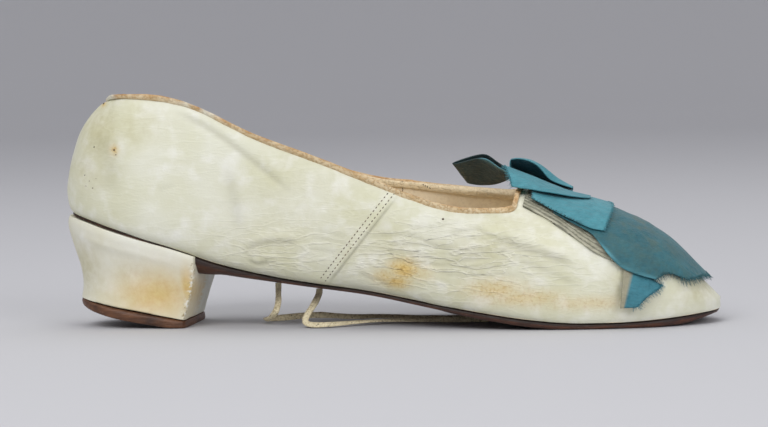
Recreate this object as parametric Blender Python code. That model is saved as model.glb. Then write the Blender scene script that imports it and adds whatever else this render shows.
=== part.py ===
import math

import bmesh
import bpy
from mathutils import Vector

# All sizes are in millimetres, scaled to metres as each point is placed.
# x runs from the heel to the toe, z runs up from the floor, y is across: minus is the near side.
MM = 0.001

# Sizes of the shoe
LENGTH = 240.0
HEEL_BACK = -LENGTH / 2
TOE_TIP = LENGTH / 2
BALL_X = 50.0
BALL_HALF = 34.5
TOE_ROUNDNESS = 2.2
HEEL_X = -85.0
HEEL_ROUNDNESS = 2.2
SEAM_TOP_X = 6.2
SEAM_FOOT_X = -20.6
THROAT_X = 46.0
THROAT_FOOT_X = 40.0
THROAT_LEAN = 2.0
BREAST_X = -70.9

# Thicknesses and fits
WALL = 1.5
LAP = 0.7
GAP = 0.3
INSOLE_THICK = 1.5
INSOLE_MARGIN = 1.4
SEAT_SOLE_THICK = 0.7
BINDING_THICK = 0.5
BINDING_LEG = 1.9
BINDING_GAP = 0.4

# How finely the upper is cut into ribs and rows
HEEL_RIBS = 9
REAR_RIBS = 10
FORE_RIBS = 6
VAMP_RIBS = 14
WALL_ROWS = 8
CROWN_ROWS = 6
ROW_GROWTH = 1.6
SEAM_STEP = 0.04


class Table:
    """Rows of named columns, read at any x along a smooth curve through the rows."""

    def __init__(self, names, rows):
        self.columns = dict(zip(names.split(), zip(*rows)))
        self.places = self.columns[names.split()[0]]

    def at(self, name, x):
        places = self.places
        values = self.columns[name]
        if x <= places[0]:
            return values[0]
        if x >= places[-1]:
            return values[-1]
        i = max(k for k in range(len(places) - 1) if places[k] <= x)
        step = places[i + 1] - places[i]
        t = (x - places[i]) / step
        start = self.slope(values, i) * step
        end = self.slope(values, i + 1) * step
        rise = values[i + 1] - values[i]
        return values[i] + t * (start + t * (3 * rise - 2 * start - end + t * (start + end - 2 * rise)))

    def slope(self, values, i):
        places = self.places

        def grade(k):
            return (values[k + 1] - values[k]) / (places[k + 1] - places[k])

        if i == 0:
            return grade(0)
        if i == len(places) - 1:
            return grade(i - 1)
        before = grade(i - 1)
        after = grade(i)
        if before * after <= 0:
            return 0.0
        return 2 * before * after / (before + after)


# Side profile: the feather line where the upper meets the sole, and the underside of the sole
FEATHER = Table(
    "x z",
    (
        (-120.0, 42.6),
        (-112.0, 40.8),
        (-104.0, 38.2),
        (-74.0, 28.3),
        (-70.8, 27.1),
        (-64.0, 24.4),
        (-56.0, 22.1),
        (-50.0, 20.7),
        (-34.0, 17.4),
        (-23.0, 15.8),
        (-6.0, 13.6),
        (7.0, 11.2),
        (17.0, 9.2),
        (32.0, 6.6),
        (44.0, 4.7),
        (56.0, 3.1),
        (68.0, 2.3),
        (83.0, 2.3),
        (99.0, 3.1),
        (111.0, 4.2),
        (120.0, 4.9),
    ),
)
TREAD = Table(
    "x z edge bevel",
    (
        (-70.6, 19.9, 2.6, 5.0),
        (-50.0, 16.9, 1.8, 5.0),
        (-34.0, 14.9, 1.3, 4.0),
        (-6.0, 11.4, 1.2, 3.0),
        (17.0, 6.9, 1.2, 1.6),
        (32.0, 4.0, 1.3, 1.0),
        (44.0, 2.0, 1.4, 0.8),
        (54.0, 0.5, 1.5, 0.8),
        (60.0, 0.0, 1.5, 0.8),
        (97.0, 0.0, 1.5, 0.8),
        (106.0, 0.7, 1.5, 0.8),
        (113.0, 1.7, 1.5, 0.7),
        (120.0, 3.0, 1.2, 0.5),
    ),
)

# Cross sections of the upper: where it is widest, its foot as a share of that, and its ridge
SECTION = Table(
    "x widest_z widest_y foot_share ridge_z roundness",
    (
        (-85.0, 46.0, 24.3, 0.88, 104.0, 2.2),
        (-60.0, 40.0, 23.8, 0.80, 102.0, 2.2),
        (-35.0, 34.0, 24.8, 0.74, 92.0, 2.2),
        (-10.0, 28.0, 27.6, 0.76, 77.0, 2.3),
        (15.0, 22.5, 31.4, 0.85, 62.0, 2.5),
        (46.0, 16.5, 34.4, 0.93, 49.6, 2.7),
        (60.0, 14.5, 34.2, 0.94, 45.6, 2.6),
        (78.0, 12.6, 32.3, 0.95, 41.3, 2.5),
        (91.0, 11.2, 29.2, 0.95, 35.6, 2.4),
        (102.0, 9.8, 24.7, 0.95, 27.7, 2.3),
        (112.6, 8.2, 17.4, 0.95, 16.0, 2.2),
        (120.0, 6.4, 0.0, 0.95, 8.4, 2.1),
    ),
)
# Collar height on each side, and the profile of the back seam by height
COLLAR = Table(
    "x near far",
    (
        (-106.0, 82.4, 82.4),
        (-101.0, 83.7, 83.7),
        (-94.0, 84.3, 84.0),
        (-84.0, 84.0, 82.5),
        (-75.5, 82.8, 79.0),
        (-67.0, 79.6, 74.8),
        (-59.0, 75.7, 70.6),
        (-52.0, 71.7, 67.2),
        (-41.0, 67.2, 62.8),
        (-25.0, 61.4, 56.9),
        (-10.0, 55.4, 52.2),
        (-6.0, 53.9, 51.2),
        (4.0, 49.6, 50.4),
        (14.0, 46.1, 49.1),
        (24.0, 43.1, 48.0),
        (32.0, 42.4, 47.2),
        (46.0, 42.3, 46.2),
    ),
)
BACK = Table(
    "height back",
    (
        (40.0, -117.6),
        (42.0, -118.3),
        (48.5, -119.3),
        (57.8, -117.9),
        (67.6, -115.4),
        (75.7, -112.1),
        (81.3, -108.0),
        (84.2, -104.6),
    ),
)


def mix(a, b, t):
    return a + (b - a) * t


def superellipse(share, power):
    return max(0.0, 1.0 - min(1.0, max(0.0, share)) ** power) ** (1.0 / power)


def widest_y(x):
    if x > BALL_X:
        return BALL_HALF * superellipse((x - BALL_X) / (TOE_TIP - BALL_X), TOE_ROUNDNESS)
    return SECTION.at("widest_y", x)


def foot_y(x):
    return widest_y(x) * SECTION.at("foot_share", x)


def half_width(x, z):
    low = FEATHER.at("z", x)
    wide = SECTION.at("widest_z", x)
    if z < wide:
        drop = 1.0 - max(0.0, z - low) / (wide - low)
        return mix(foot_y(x), widest_y(x), math.sqrt(1.0 - drop * drop))
    share = (z - wide) / (SECTION.at("ridge_z", x) - wide)
    return widest_y(x) * superellipse(share, SECTION.at("roundness", x))


# Ribs are counted from the back seam round to the toe tip
RIB_HEEL = HEEL_RIBS
RIB_SEAM = RIB_HEEL + REAR_RIBS
RIB_THROAT = RIB_SEAM + FORE_RIBS
RIB_TIP = RIB_THROAT + VAMP_RIBS


def rib_ends(rib):
    """Where a rib in front of the heel curve stands on the feather line, and where its top is."""
    if rib <= RIB_SEAM:
        t = (rib - RIB_HEEL) / REAR_RIBS
        return mix(HEEL_X, SEAM_FOOT_X, t), mix(HEEL_X, SEAM_TOP_X, t)
    if rib <= RIB_THROAT:
        t = (rib - RIB_SEAM) / FORE_RIBS
        return mix(SEAM_FOOT_X, THROAT_FOOT_X, t), mix(SEAM_TOP_X, THROAT_X, t)
    t = min(1.0, (rib - RIB_THROAT) / VAMP_RIBS)
    top = mix(THROAT_X, TOE_TIP, math.sin(t * math.pi / 2))
    slant = (THROAT_X - THROAT_FOOT_X) * max(0.0, 1.0 - 2.0 * t) ** 2
    return top - slant, top


def side_name(side):
    return "near" if side < 0 else "far"


def shoulder_share(side):
    """How far up from the widest line to the ridge the corner of the throat lies."""
    wide = SECTION.at("widest_z", THROAT_X)
    ridge = SECTION.at("ridge_z", THROAT_X)
    return (COLLAR.at(side_name(side), THROAT_X) - wide) / (ridge - wide)


def top_z(side, x):
    if x <= THROAT_X:
        return COLLAR.at(side_name(side), x)
    wide = SECTION.at("widest_z", x)
    return mix(wide, SECTION.at("ridge_z", x), shoulder_share(side))


def wall_point(side, rib, v):
    """A point of the vamp and quarters: v is 0 at the feather line, 1 at the collar."""
    up = v ** ROW_GROWTH
    if rib < RIB_HEEL:
        angle = math.pi / 2 * (1.0 - rib / HEEL_RIBS)
        along = math.sin(angle) ** (2.0 / HEEL_ROUNDNESS)
        across = max(0.0, math.cos(angle)) ** (2.0 / HEEL_ROUNDNESS)
        reach = [HEEL_X - BACK.at("back", mix(40.0, 84.2, t)) for t in (0.0, up, 1.0)]
        low = FEATHER.at("z", HEEL_X - reach[0] * along)
        high = top_z(side, HEEL_X - reach[2] * along)
        beside = mix(FEATHER.at("z", HEEL_X), top_z(side, HEEL_X), up)
        y = half_width(HEEL_X, beside) * across
        return Vector((HEEL_X - reach[1] * along, side * y, mix(low, high, up)))
    foot, top = rib_ends(rib)
    x = mix(foot, top, up)
    if rib >= RIB_TIP:
        return Vector((x, 0.0, mix(FEATHER.at("z", foot), top_z(-1, top), up)))
    z = mix(FEATHER.at("z", foot), top_z(side, top), up)
    return Vector((x, side * half_width(x, z), z))


def crown_point(side, rib, w):
    """A point of the top of the vamp: w is 0 at the shoulder line, 1 on the ridge."""
    x = rib_ends(rib)[1]
    x += THROAT_LEAN * w * max(0.0, 1.0 - (rib - RIB_THROAT) / 5.0)
    half_power = SECTION.at("roundness", x) / 2.0
    start = math.asin(shoulder_share(-1 if rib >= RIB_TIP else side) ** half_power)
    angle = mix(start, math.pi / 2, w)
    y = widest_y(x) * max(0.0, math.cos(angle)) ** (1.0 / half_power)
    wide = SECTION.at("widest_z", x)
    z = mix(wide, SECTION.at("ridge_z", x), math.sin(angle) ** (1.0 / half_power))
    if w >= 1.0 or rib >= RIB_TIP:
        y = 0.0
    return Vector((x, side * y, z))


def outward(shape, side, rib, v):
    """The outward normal of the wall or the crown at a point."""
    small = 0.03
    before = max(0.0, v - small)
    after = min(1.0, v + small)
    rise = shape(side, rib, after) - shape(side, rib, before)
    lowest = RIB_THROAT if shape is crown_point else 0
    ahead = shape(side, min(RIB_TIP, rib + small), v)
    behind = shape(side, max(lowest, rib - small), v)
    normal = rise.cross(ahead - behind) * side
    if abs(shape(side, rib, v).y) < 1e-6:
        normal.y = 0.0
    return normal.normalized()


def skin(shape, side, rib, v, offset):
    return shape(side, rib, v) + outward(shape, side, rib, v) * offset


# Building helpers
def new_mesh():
    return bmesh.new()


def mapped_sheet(bm, columns, rows, place):
    """A grid whose crossing points are moved to place(column, row)."""
    made = bmesh.ops.create_grid(bm, x_segments=columns, y_segments=rows, size=1.0)
    for vert in made["verts"]:
        i = round((vert.co.x + 1.0) / 2.0 * columns)
        j = round((vert.co.y + 1.0) / 2.0 * rows)
        vert.co = Vector(place(i, j)) * MM
    return made["verts"]


def weld(bm, reach=0.004):
    bmesh.ops.remove_doubles(bm, verts=bm.verts[:], dist=reach * MM)
    bmesh.ops.dissolve_degenerate(bm, dist=reach * MM, edges=bm.edges[:])


def close_ends(bm):
    open_edges = [e for e in bm.edges if e.is_boundary]
    bmesh.ops.holes_fill(bm, edges=open_edges, sides=0)


def finish(name, bm, colour, roughness):
    bmesh.ops.recalc_face_normals(bm, faces=bm.faces[:])
    bmesh.ops.triangulate(bm, faces=[f for f in bm.faces if len(f.verts) > 4])
    mesh = bpy.data.meshes.new(name)
    bm.to_mesh(mesh)
    bm.free()
    obj = bpy.data.objects.new(name, mesh)
    bpy.context.scene.collection.objects.link(obj)
    paint(obj, name, colour, roughness)
    return obj


def paint(obj, name, colour, roughness):
    material = bpy.data.materials.new(name)
    material.use_nodes = True
    shader = material.node_tree.nodes["Principled BSDF"]
    shader.inputs["Base Color"].default_value = (*colour, 1.0)
    shader.inputs["Roughness"].default_value = roughness
    obj.data.materials.append(material)


def long_solid(name, stations, ring, colour, roughness):
    """A solid along the shoe: ring(x) gives the same number of points at each station."""
    rings = [ring(x) for x in stations]
    count = len(rings[0])
    bm = new_mesh()
    mapped_sheet(bm, len(stations) - 1, count, lambda i, j: rings[i][j % count])
    weld(bm)
    close_ends(bm)
    return finish(name, bm, colour, roughness)


# The upper: an outer and an inner skin, joined along the collar and along the feather line
def lap_at(rib):
    return LAP if rib <= RIB_SEAM + 1e-6 else 0.0


def wall_ribs():
    ribs = [float(r) for r in range(RIB_TIP + 1)]
    ribs.insert(RIB_SEAM + 1, RIB_SEAM + SEAM_STEP)
    return ribs


def upper_skin(bm, offset_at):
    ribs = wall_ribs()
    around = [(-1, r) for r in reversed(ribs)] + [(1, r) for r in ribs[1:]]

    def place_wall(i, j):
        side, rib = around[i]
        offset = offset_at(rib)
        if j == 0:
            offset = min(0.0, offset)
        return skin(wall_point, side, rib, j / WALL_ROWS, offset)

    def place_crown(i, j):
        side = -1 if j <= CROWN_ROWS else 1
        w = j / CROWN_ROWS if side < 0 else 2.0 - j / CROWN_ROWS
        rib = RIB_THROAT + i
        if w == 0.0:
            return skin(wall_point, side, rib, 1.0, offset_at(rib))
        return skin(crown_point, side, rib, w, offset_at(rib))

    mapped_sheet(bm, len(around) - 1, WALL_ROWS, place_wall)
    mapped_sheet(bm, VAMP_RIBS, 2 * CROWN_ROWS, place_crown)


def make_upper():
    bm = new_mesh()
    upper_skin(bm, lap_at)
    upper_skin(bm, lambda rib: -WALL)
    weld(bm)
    edges = [e for e in bm.edges if e.is_boundary]
    heights = {e: (e.verts[0].co.z + e.verts[1].co.z) / 2 for e in edges}

    def is_collar(edge):
        x = edge.verts[0].co.x / MM
        return heights[edge] / MM > FEATHER.at("z", x) + 12.0

    bmesh.ops.bridge_loops(bm, edges=[e for e in edges if is_collar(e)])
    bmesh.ops.bridge_loops(bm, edges=[e for e in edges if not is_collar(e)])
    return finish("upper", bm, (0.72, 0.72, 0.62), 0.5)


# The outsole, the insole and the plan that they share
def plan_half(x, margin):
    if x < HEEL_X:
        reach = HEEL_X - BACK.at("back", 40.0) + margin
        width = foot_y(HEEL_X) + margin
        return width * superellipse((HEEL_X - x) / reach, HEEL_ROUNDNESS)
    if x > BALL_X:
        width = foot_y(BALL_X) + margin
        reach = TOE_TIP - BALL_X - 0.6 + margin
        return width * superellipse((x - BALL_X) / reach, TOE_ROUNDNESS)
    return foot_y(x) + margin


def stations(back, front, heel_count, body_count, toe_count):
    def eased(k, count):
        return math.sin(k / count * math.pi / 2)

    spots = [mix(HEEL_X, back, eased(k, heel_count)) for k in range(heel_count, 0, -1)]
    spots += [mix(HEEL_X, BALL_X, k / body_count) for k in range(body_count)]
    spots += [mix(BALL_X, front, eased(k, toe_count)) for k in range(toe_count + 1)]
    return spots


def sole_ring(x):
    top = FEATHER.at("z", x) - GAP
    half = max(plan_half(x, 0.5 if x > 0 else 0.2), 1.2)
    if x < BREAST_X + 0.2:
        low = top - SEAT_SOLE_THICK
        edge = SEAT_SOLE_THICK * 0.5
        inner = half - min(0.4, half * 0.3)
    else:
        low = TREAD.at("z", x)
        edge = min(TREAD.at("edge", x), (top - low) * 0.8)
        inner = half - min(TREAD.at("bevel", x), half * 0.5)
    return [
        (x, -half, top),
        (x, half, top),
        (x, half, top - edge),
        (x, inner, low),
        (x, -inner, low),
        (x, -half, top - edge),
    ]


def make_outsole():
    spots = stations(-118.0, 119.3, 7, 17, 11)
    flats = [BREAST_X, BREAST_X + 0.5, 60.0, 97.0]
    spots = sorted([s for s in spots if min(abs(s - f) for f in flats) > 1.5] + flats)
    return long_solid("outsole", spots, sole_ring, (0.10, 0.05, 0.035), 0.6)


def insole_ring(x):
    low = FEATHER.at("z", x)
    half = max(plan_half(x, -INSOLE_MARGIN), 1.2)
    high = low + INSOLE_THICK
    return [(x, -half, high), (x, half, high), (x, half, low), (x, -half, low)]


def make_insole():
    spots = stations(-115.6, 117.5, 7, 17, 11)
    return long_solid("insole", spots, insole_ring, (0.45, 0.33, 0.22), 0.7)


# The heel: level rings from the seat down to the lift, with a straight breast and a round back
HEEL = Table(
    "level breast back half",
    (
        (0.0, -71.3, -119.0, 22.0),
        (0.04, -71.3, -119.6, 22.3),
        (0.12, -71.2, -119.9, 22.3),
        (0.30, -71.6, -118.6, 21.0),
        (0.50, -72.8, -116.3, 19.6),
        (0.70, -74.2, -114.7, 18.8),
        (0.87, -75.3, -114.3, 18.7),
        (1.0, -76.2, -115.2, 19.1),
    ),
)
HEEL_LEVELS = (0.0, 0.04, 0.12, 0.3, 0.5, 0.7, 0.87, 1.0)
HEEL_STEPS = (0.0, 0.02, 0.06, 0.14, 0.32, 0.5, 0.66, 0.79, 0.89, 0.96, 0.99, 1.0)
CORNER = 2.4
LIFT_FRONT_X = -76.2
LIFT_FRONT_Z = 2.6
LIFT_SLOPE = -0.207
LIFT_LOW = Table(
    "x z",
    (
        (-115.2, 8.6),
        (-112.0, 7.2),
        (-108.0, 5.7),
        (-100.0, 3.6),
        (-91.0, 1.7),
        (-86.0, 0.7),
        (-82.0, 0.0),
        (-75.0, 0.0),
    ),
)


def lift_top(x):
    return LIFT_FRONT_Z + LIFT_SLOPE * (x - LIFT_FRONT_X)


def heel_top(x):
    return FEATHER.at("z", x) - 2 * GAP - SEAT_SOLE_THICK


def heel_half(level, x):
    breast = HEEL.at("breast", level)
    half = HEEL.at("half", level)
    middle = breast - 14.0
    if x > breast - CORNER:
        return half - CORNER + math.sqrt(max(0.0, CORNER**2 - (x - breast + CORNER) ** 2))
    if x > middle:
        return half
    share = (middle - x) / (middle - HEEL.at("back", level))
    return half * superellipse(share, 2.3)


def heel_ring(level):
    breast = HEEL.at("breast", level)
    back = HEEL.at("back", level)
    spots = [mix(breast, back, t) for t in HEEL_STEPS]
    plan = [(x, heel_half(level, x)) for x in spots]
    plan += [(x, -heel_half(level, x)) for x in reversed(spots[:-1])]
    return [(x, y, mix(heel_top(x), lift_top(x) + GAP, level)) for x, y in plan]


def make_heel():
    rings = [heel_ring(level) for level in HEEL_LEVELS]
    count = len(rings[0])
    bm = new_mesh()
    mapped_sheet(bm, len(rings) - 1, count, lambda i, j: rings[i][j % count])
    weld(bm)
    close_ends(bm)
    return finish("heel", bm, (0.72, 0.71, 0.60), 0.5)


def lift_ring(x):
    half = max(heel_half(1.0, x), 1.5)
    top = lift_top(x)
    low = LIFT_LOW.at("z", x)
    edge = min(0.5, 0.3 * (top - low))
    inner = half - edge
    return [
        (x, -half, top),
        (x, half, top),
        (x, half, low + edge),
        (x, inner, low),
        (x, -inner, low),
        (x, -half, low + edge),
    ]


def make_top_lift():
    breast = HEEL.at("breast", 1.0)
    back = HEEL.at("back", 1.0)
    spots = [breast, breast - 0.6, breast - 1.4, breast - CORNER, -82.0, -86.0, -91.0, -96.0]
    spots += [-100.0, -104.0, -108.0, -110.5, -113.0, back + 0.2]
    return long_solid("top_lift", sorted(spots), lift_ring, (0.12, 0.06, 0.04), 0.6)


# The binding: a ribbon folded over the rim, its legs laid on the upper's own skins
OUTER_LEG = Table(
    "x leg",
    (
        (-120.0, 0.4),
        (-95.0, 0.6),
        (-75.0, 1.0),
        (-66.0, 0.4),
        (-56.0, 0.7),
        (-30.0, 1.0),
        (0.0, 1.2),
        (20.0, 1.3),
        (60.0, 1.3),
    ),
)


def rim_stations():
    ribs = [r for r in wall_ribs() if r <= RIB_THROAT]
    near = [("wall", -1, r) for r in ribs]
    far = [("wall", 1, r) for r in reversed(ribs[1:])]
    across = []
    for k in range(1, 2 * CROWN_ROWS):
        side = -1 if k <= CROWN_ROWS else 1
        across.append(("crown", side, min(k, 2 * CROWN_ROWS - k) / CROWN_ROWS))
    return near + across + far


def rim_point(station, depth, outer, offset):
    """A point beside the rim: depth is measured down from the edge; outside, a leg has its own."""
    kind, side, where = station
    if kind == "crown":
        base = 0.0 if outer else -WALL
        edge = skin(crown_point, side, RIB_THROAT, where, base)
        inside = (skin(crown_point, side, RIB_THROAT + 1, where, base) - edge).normalized()
        normal = outward(crown_point, side, RIB_THROAT, where)
    else:
        base = lap_at(where) if outer else -WALL
        edge = skin(wall_point, side, where, 1.0, base)
        inside = (skin(wall_point, side, where, 1.0 - 1.0 / WALL_ROWS, base) - edge).normalized()
        if where >= RIB_THROAT:
            inside += (skin(wall_point, side, where + 1, 1.0, base) - edge).normalized()
        normal = outward(wall_point, side, where, 1.0)
    along = inside.normalized()
    normal = (normal - along * normal.dot(along)).normalized()
    if outer and depth > 0.0:
        depth = OUTER_LEG.at("leg", edge.x)
    return edge + inside * depth + normal * offset


def make_binding():
    rim = rim_stations()
    full = BINDING_GAP + BINDING_THICK
    section = (
        (BINDING_LEG, True, full),
        (-0.6 * full, True, full),
        (-full, True, 0.4 * full),
        (-full, False, -0.4 * full),
        (-0.6 * full, False, -full),
        (BINDING_LEG, False, -full),
        (BINDING_LEG, False, -BINDING_GAP),
        (-BINDING_GAP, False, -BINDING_GAP),
        (-BINDING_GAP, True, BINDING_GAP),
        (BINDING_LEG, True, BINDING_GAP),
    )
    count = len(section)
    bm = new_mesh()
    mapped_sheet(
        bm, len(rim), count, lambda i, j: rim_point(rim[i % len(rim)], *section[j % count])
    )
    weld(bm)
    return finish("topline_binding", bm, (0.55, 0.40, 0.24), 0.6)


# Ribbon pieces: a sheet with a thickness, closed round its edges
RIBBON = 0.5
BLUE = (0.10, 0.30, 0.42)


def ribbon(name, columns, rows, place, thickness, colour, roughness=0.5):
    spots = []
    for i in range(columns + 1):
        spots.append([Vector(place(i / columns, j / rows)) for j in range(rows + 1)])

    def face(i, j, sign):
        along = spots[min(i + 1, columns)][j] - spots[max(i - 1, 0)][j]
        across = spots[i][min(j + 1, rows)] - spots[i][max(j - 1, 0)]
        return spots[i][j] + along.cross(across).normalized() * sign * thickness / 2

    def around(i, j):
        j %= 2 * rows + 2
        return face(i, j, 1) if j <= rows else face(i, 2 * rows + 1 - j, -1)

    bm = new_mesh()
    mapped_sheet(bm, columns, 2 * rows + 2, around)
    mapped_sheet(bm, 1, rows, lambda i, j: face(0, j, 1 - 2 * i))
    mapped_sheet(bm, 1, rows, lambda i, j: face(columns, j, 1 - 2 * i))
    weld(bm)
    return finish(name, bm, colour, roughness)


def over_vamp(x, turn, lift):
    """A point above the vamp: turn is 0 on the ridge and 1 or minus 1 where the vamp is widest."""

    def spot(at_x, at_turn):
        power = 2.0 / SECTION.at("roundness", at_x)
        angle = math.pi / 2 * (1.0 - min(1.0, abs(at_turn)))
        y = widest_y(at_x) * max(0.0, math.cos(angle)) ** power
        wide = SECTION.at("widest_z", at_x)
        z = mix(wide, SECTION.at("ridge_z", at_x), math.sin(angle) ** power)
        return Vector((at_x, math.copysign(y, at_turn), z))

    along = spot(x + 0.3, turn) - spot(x - 0.3, turn)
    around = spot(x, turn + 0.02) - spot(x, turn - 0.02)
    return spot(x, turn) + along.cross(around).normalized() * lift


# The ruche under the bow, then the tails and loops, each a layer above the last
RUCHE_START_MIDDLE = 50.8
RUCHE_START_EDGE = 49.4
RUCHE = Table(
    "x near far",
    (
        (49.3, -0.42, 0.42),
        (57.0, -0.49, 0.49),
        (62.0, -0.54, 0.54),
        (67.0, -0.63, 0.58),
        (73.0, -0.72, 0.60),
        (81.5, -0.78, 0.58),
    ),
)
LONG_TAIL = Table(
    "across turn start finish lift_start lift_mid lift_end",
    (
        (0.0, -0.87, 60.0, 93.5, 1.3, 1.9, 2.2),
        (0.10, -0.77, 60.0, 97.5, 1.3, 1.5, 1.6),
        (0.22, -0.70, 60.0, 105.0, 1.3, 1.4, 2.2),
        (0.36, -0.45, 60.0, 110.5, 1.3, 1.4, 2.3),
        (0.5, -0.12, 60.0, 113.4, 1.3, 1.4, 2.6),
        (0.64, 0.20, 60.0, 113.0, 1.3, 1.4, 2.4),
        (0.8, 0.50, 60.0, 108.0, 1.3, 1.4, 1.8),
        (1.0, 0.80, 60.0, 98.0, 1.3, 1.5, 1.4),
    ),
)
LONG_TAIL_SPREAD = Table(
    "share spread",
    (
        (0.0, 0.50),
        (0.20, 0.60),
        (0.40, 0.68),
        (0.50, 0.79),
        (0.60, 0.89),
        (0.72, 0.96),
        (1.0, 1.0),
    ),
)


def ruche_place(a, b):
    start = mix(RUCHE_START_MIDDLE, RUCHE_START_EDGE, (2.0 * b - 1.0) ** 2)
    x = mix(start, 81.5, a)
    return over_vamp(x, mix(RUCHE.at("near", x), RUCHE.at("far", x), b), GAP + RIBBON / 2)


def long_tail_place(a, b):
    x = mix(LONG_TAIL.at("start", b), LONG_TAIL.at("finish", b), a)
    spread = LONG_TAIL_SPREAD.at("spread", a)
    low = mix(LONG_TAIL.at("lift_start", b), LONG_TAIL.at("lift_mid", b), min(1.0, a * 2.0))
    lift = mix(low, LONG_TAIL.at("lift_end", b), max(0.0, a * 2.0 - 1.0))
    return over_vamp(x, LONG_TAIL.at("turn", b) * spread, lift)


# The short tail, on the near side under the loop
SHORT_TAIL = Table(
    "x near far",
    (
        (51.8, -0.35, 0.22),
        (60.0, -0.44, 0.26),
        (68.5, -0.52, 0.28),
        (74.5, -0.56, 0.28),
        (79.0, -0.54, 0.26),
    ),
)
SHORT_TAIL_LIFT = 2.4


def short_tail_place(a, b):
    x = mix(51.8, mix(77.8, 80.6, math.sin(b * math.pi)), a)
    return over_vamp(x, mix(SHORT_TAIL.at("near", x), SHORT_TAIL.at("far", x), b), SHORT_TAIL_LIFT)


# The flap that faces the near side, from its fold down to its lower edge
FLAP = Table(
    "x fold_y fold_z low_y low_z",
    (
        (42.0, -4.5, 57.4, -17.0, 50.0),
        (50.0, -4.5, 54.4, -18.5, 49.0),
        (57.5, -4.0, 51.2, -18.0, 47.8),
        (66.0, -3.0, 47.6, -15.0, 46.3),
        (73.5, -2.0, 45.7, -9.5, 45.2),
    ),
)
FLAP_BACK_X = 42.0
FLAP_FRONT_X = 73.5
FLAP_SLANT = 3.2


def flap_place(a, b):
    x = mix(FLAP_BACK_X, FLAP_FRONT_X, a)
    swell = 1.2 * math.sin(b * math.pi) * (1.0 - a)
    y = mix(FLAP.at("fold_y", x), FLAP.at("low_y", x), b) - swell
    z = mix(FLAP.at("fold_z", x), FLAP.at("low_z", x), b) + swell
    return (x + FLAP_SLANT * b * (1.0 - a), y, z)


# The top loop: out along its lower side, round its end, and back along its upper side
LOOP = Table(
    "x near_y low_z mouth_z crest_z",
    (
        (44.2, -3.6, 55.5, 59.4, 59.5),
        (47.0, -3.6, 54.4, 59.6, 59.8),
        (52.0, -3.6, 52.5, 58.4, 59.0),
        (55.0, -3.3, 51.4, 56.4, 57.6),
        (58.0, -3.0, 50.2, 52.2, 55.4),
        (61.0, -2.6, 49.1, 50.5, 52.7),
        (67.0, -2.0, 47.4, 48.5, 48.9),
    ),
)
LOOP_FAR_Y = 11.0
LOOP_FAR_GAP = 1.0
LOOP_CREST = 0.25
LOOP_BACK_X = 44.8
LOOP_FRONT_X = 67.0


def top_loop_place(a, b):
    """Its upper side rises from the mouth to a crest, and comes down on the lower side beyond it."""
    out = min(1.0, a / 0.4) if a < 0.5 else min(1.0, (1.0 - a) / 0.4)
    x = mix(LOOP_FRONT_X, LOOP_BACK_X, out)
    y = mix(LOOP.at("near_y", x), LOOP_FAR_Y, b)
    low = LOOP.at("low_z", x)
    if b < LOOP_CREST:
        high = mix(LOOP.at("mouth_z", x), LOOP.at("crest_z", x), math.sin(b / LOOP_CREST * math.pi / 2))
    else:
        high = mix(LOOP.at("crest_z", x), low + LOOP_FAR_GAP, (b - LOOP_CREST) / (1.0 - LOOP_CREST))
    if a < 0.4:
        return (x, y, low)
    if a > 0.6:
        return (x, y, high)
    angle = math.pi * (a - 0.4) / 0.2
    radius = (high - low) / 2
    return (x - 0.3 * radius * math.sin(angle), y, low + radius - radius * math.cos(angle))


# The loop that stands back over the throat: its near face from foot to tip, then its far face
BACK_LOOP = Table(
    "share foot_x foot_y foot_z head_x head_y head_z",
    (
        (0.0, 43.5, 9.0, 51.6, 44.0, 2.0, 54.2),
        (0.33, 37.5, 13.5, 49.4, 39.6, 2.6, 56.6),
        (0.66, 32.5, 16.0, 49.2, 33.8, 3.5, 60.0),
        (1.0, 28.0, 17.0, 49.8, 23.2, 6.0, 57.6),
    ),
)
BACK_LOOP_DEPTH = 3.0


def back_loop_place(a, b):
    out = min(1.0, a / 0.45) if a < 0.5 else min(1.0, (1.0 - a) / 0.45)
    point = [mix(BACK_LOOP.at("foot_" + c, out), BACK_LOOP.at("head_" + c, out), b) for c in "xyz"]
    turn = min(1.0, max(0.0, (a - 0.45) / 0.1))
    open_by = BACK_LOOP_DEPTH * (0.45 + 0.55 * math.sin(math.pi * min(1.0, out * 0.9 + 0.1)) ** 0.7)
    back = open_by * (1.0 - math.cos(math.pi * turn)) / 2
    end = 0.5 * BACK_LOOP_DEPTH * 0.45 * math.sin(math.pi * turn)
    return (point[0] - end, point[1] + 0.85 * back, point[2] + 0.5 * back)


# The frayed corner of ribbon that hangs under the long tail on the near side
CORNER_LOW_BACK = Vector((83.4, -34.2, 7.6))
CORNER_LOW_FRONT = Vector((89.6, -33.2, 7.8))


def corner_tail_place(a, b):
    top = mix(over_vamp(84.6, -0.80, 0.9), over_vamp(97.0, -0.84, 0.9), b)
    low = mix(CORNER_LOW_BACK, CORNER_LOW_FRONT, b)
    return mix(top, low, a) + Vector((0.0, -0.9, 0.0)) * math.sin(a * math.pi) * (1.0 - 0.3 * b)


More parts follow.
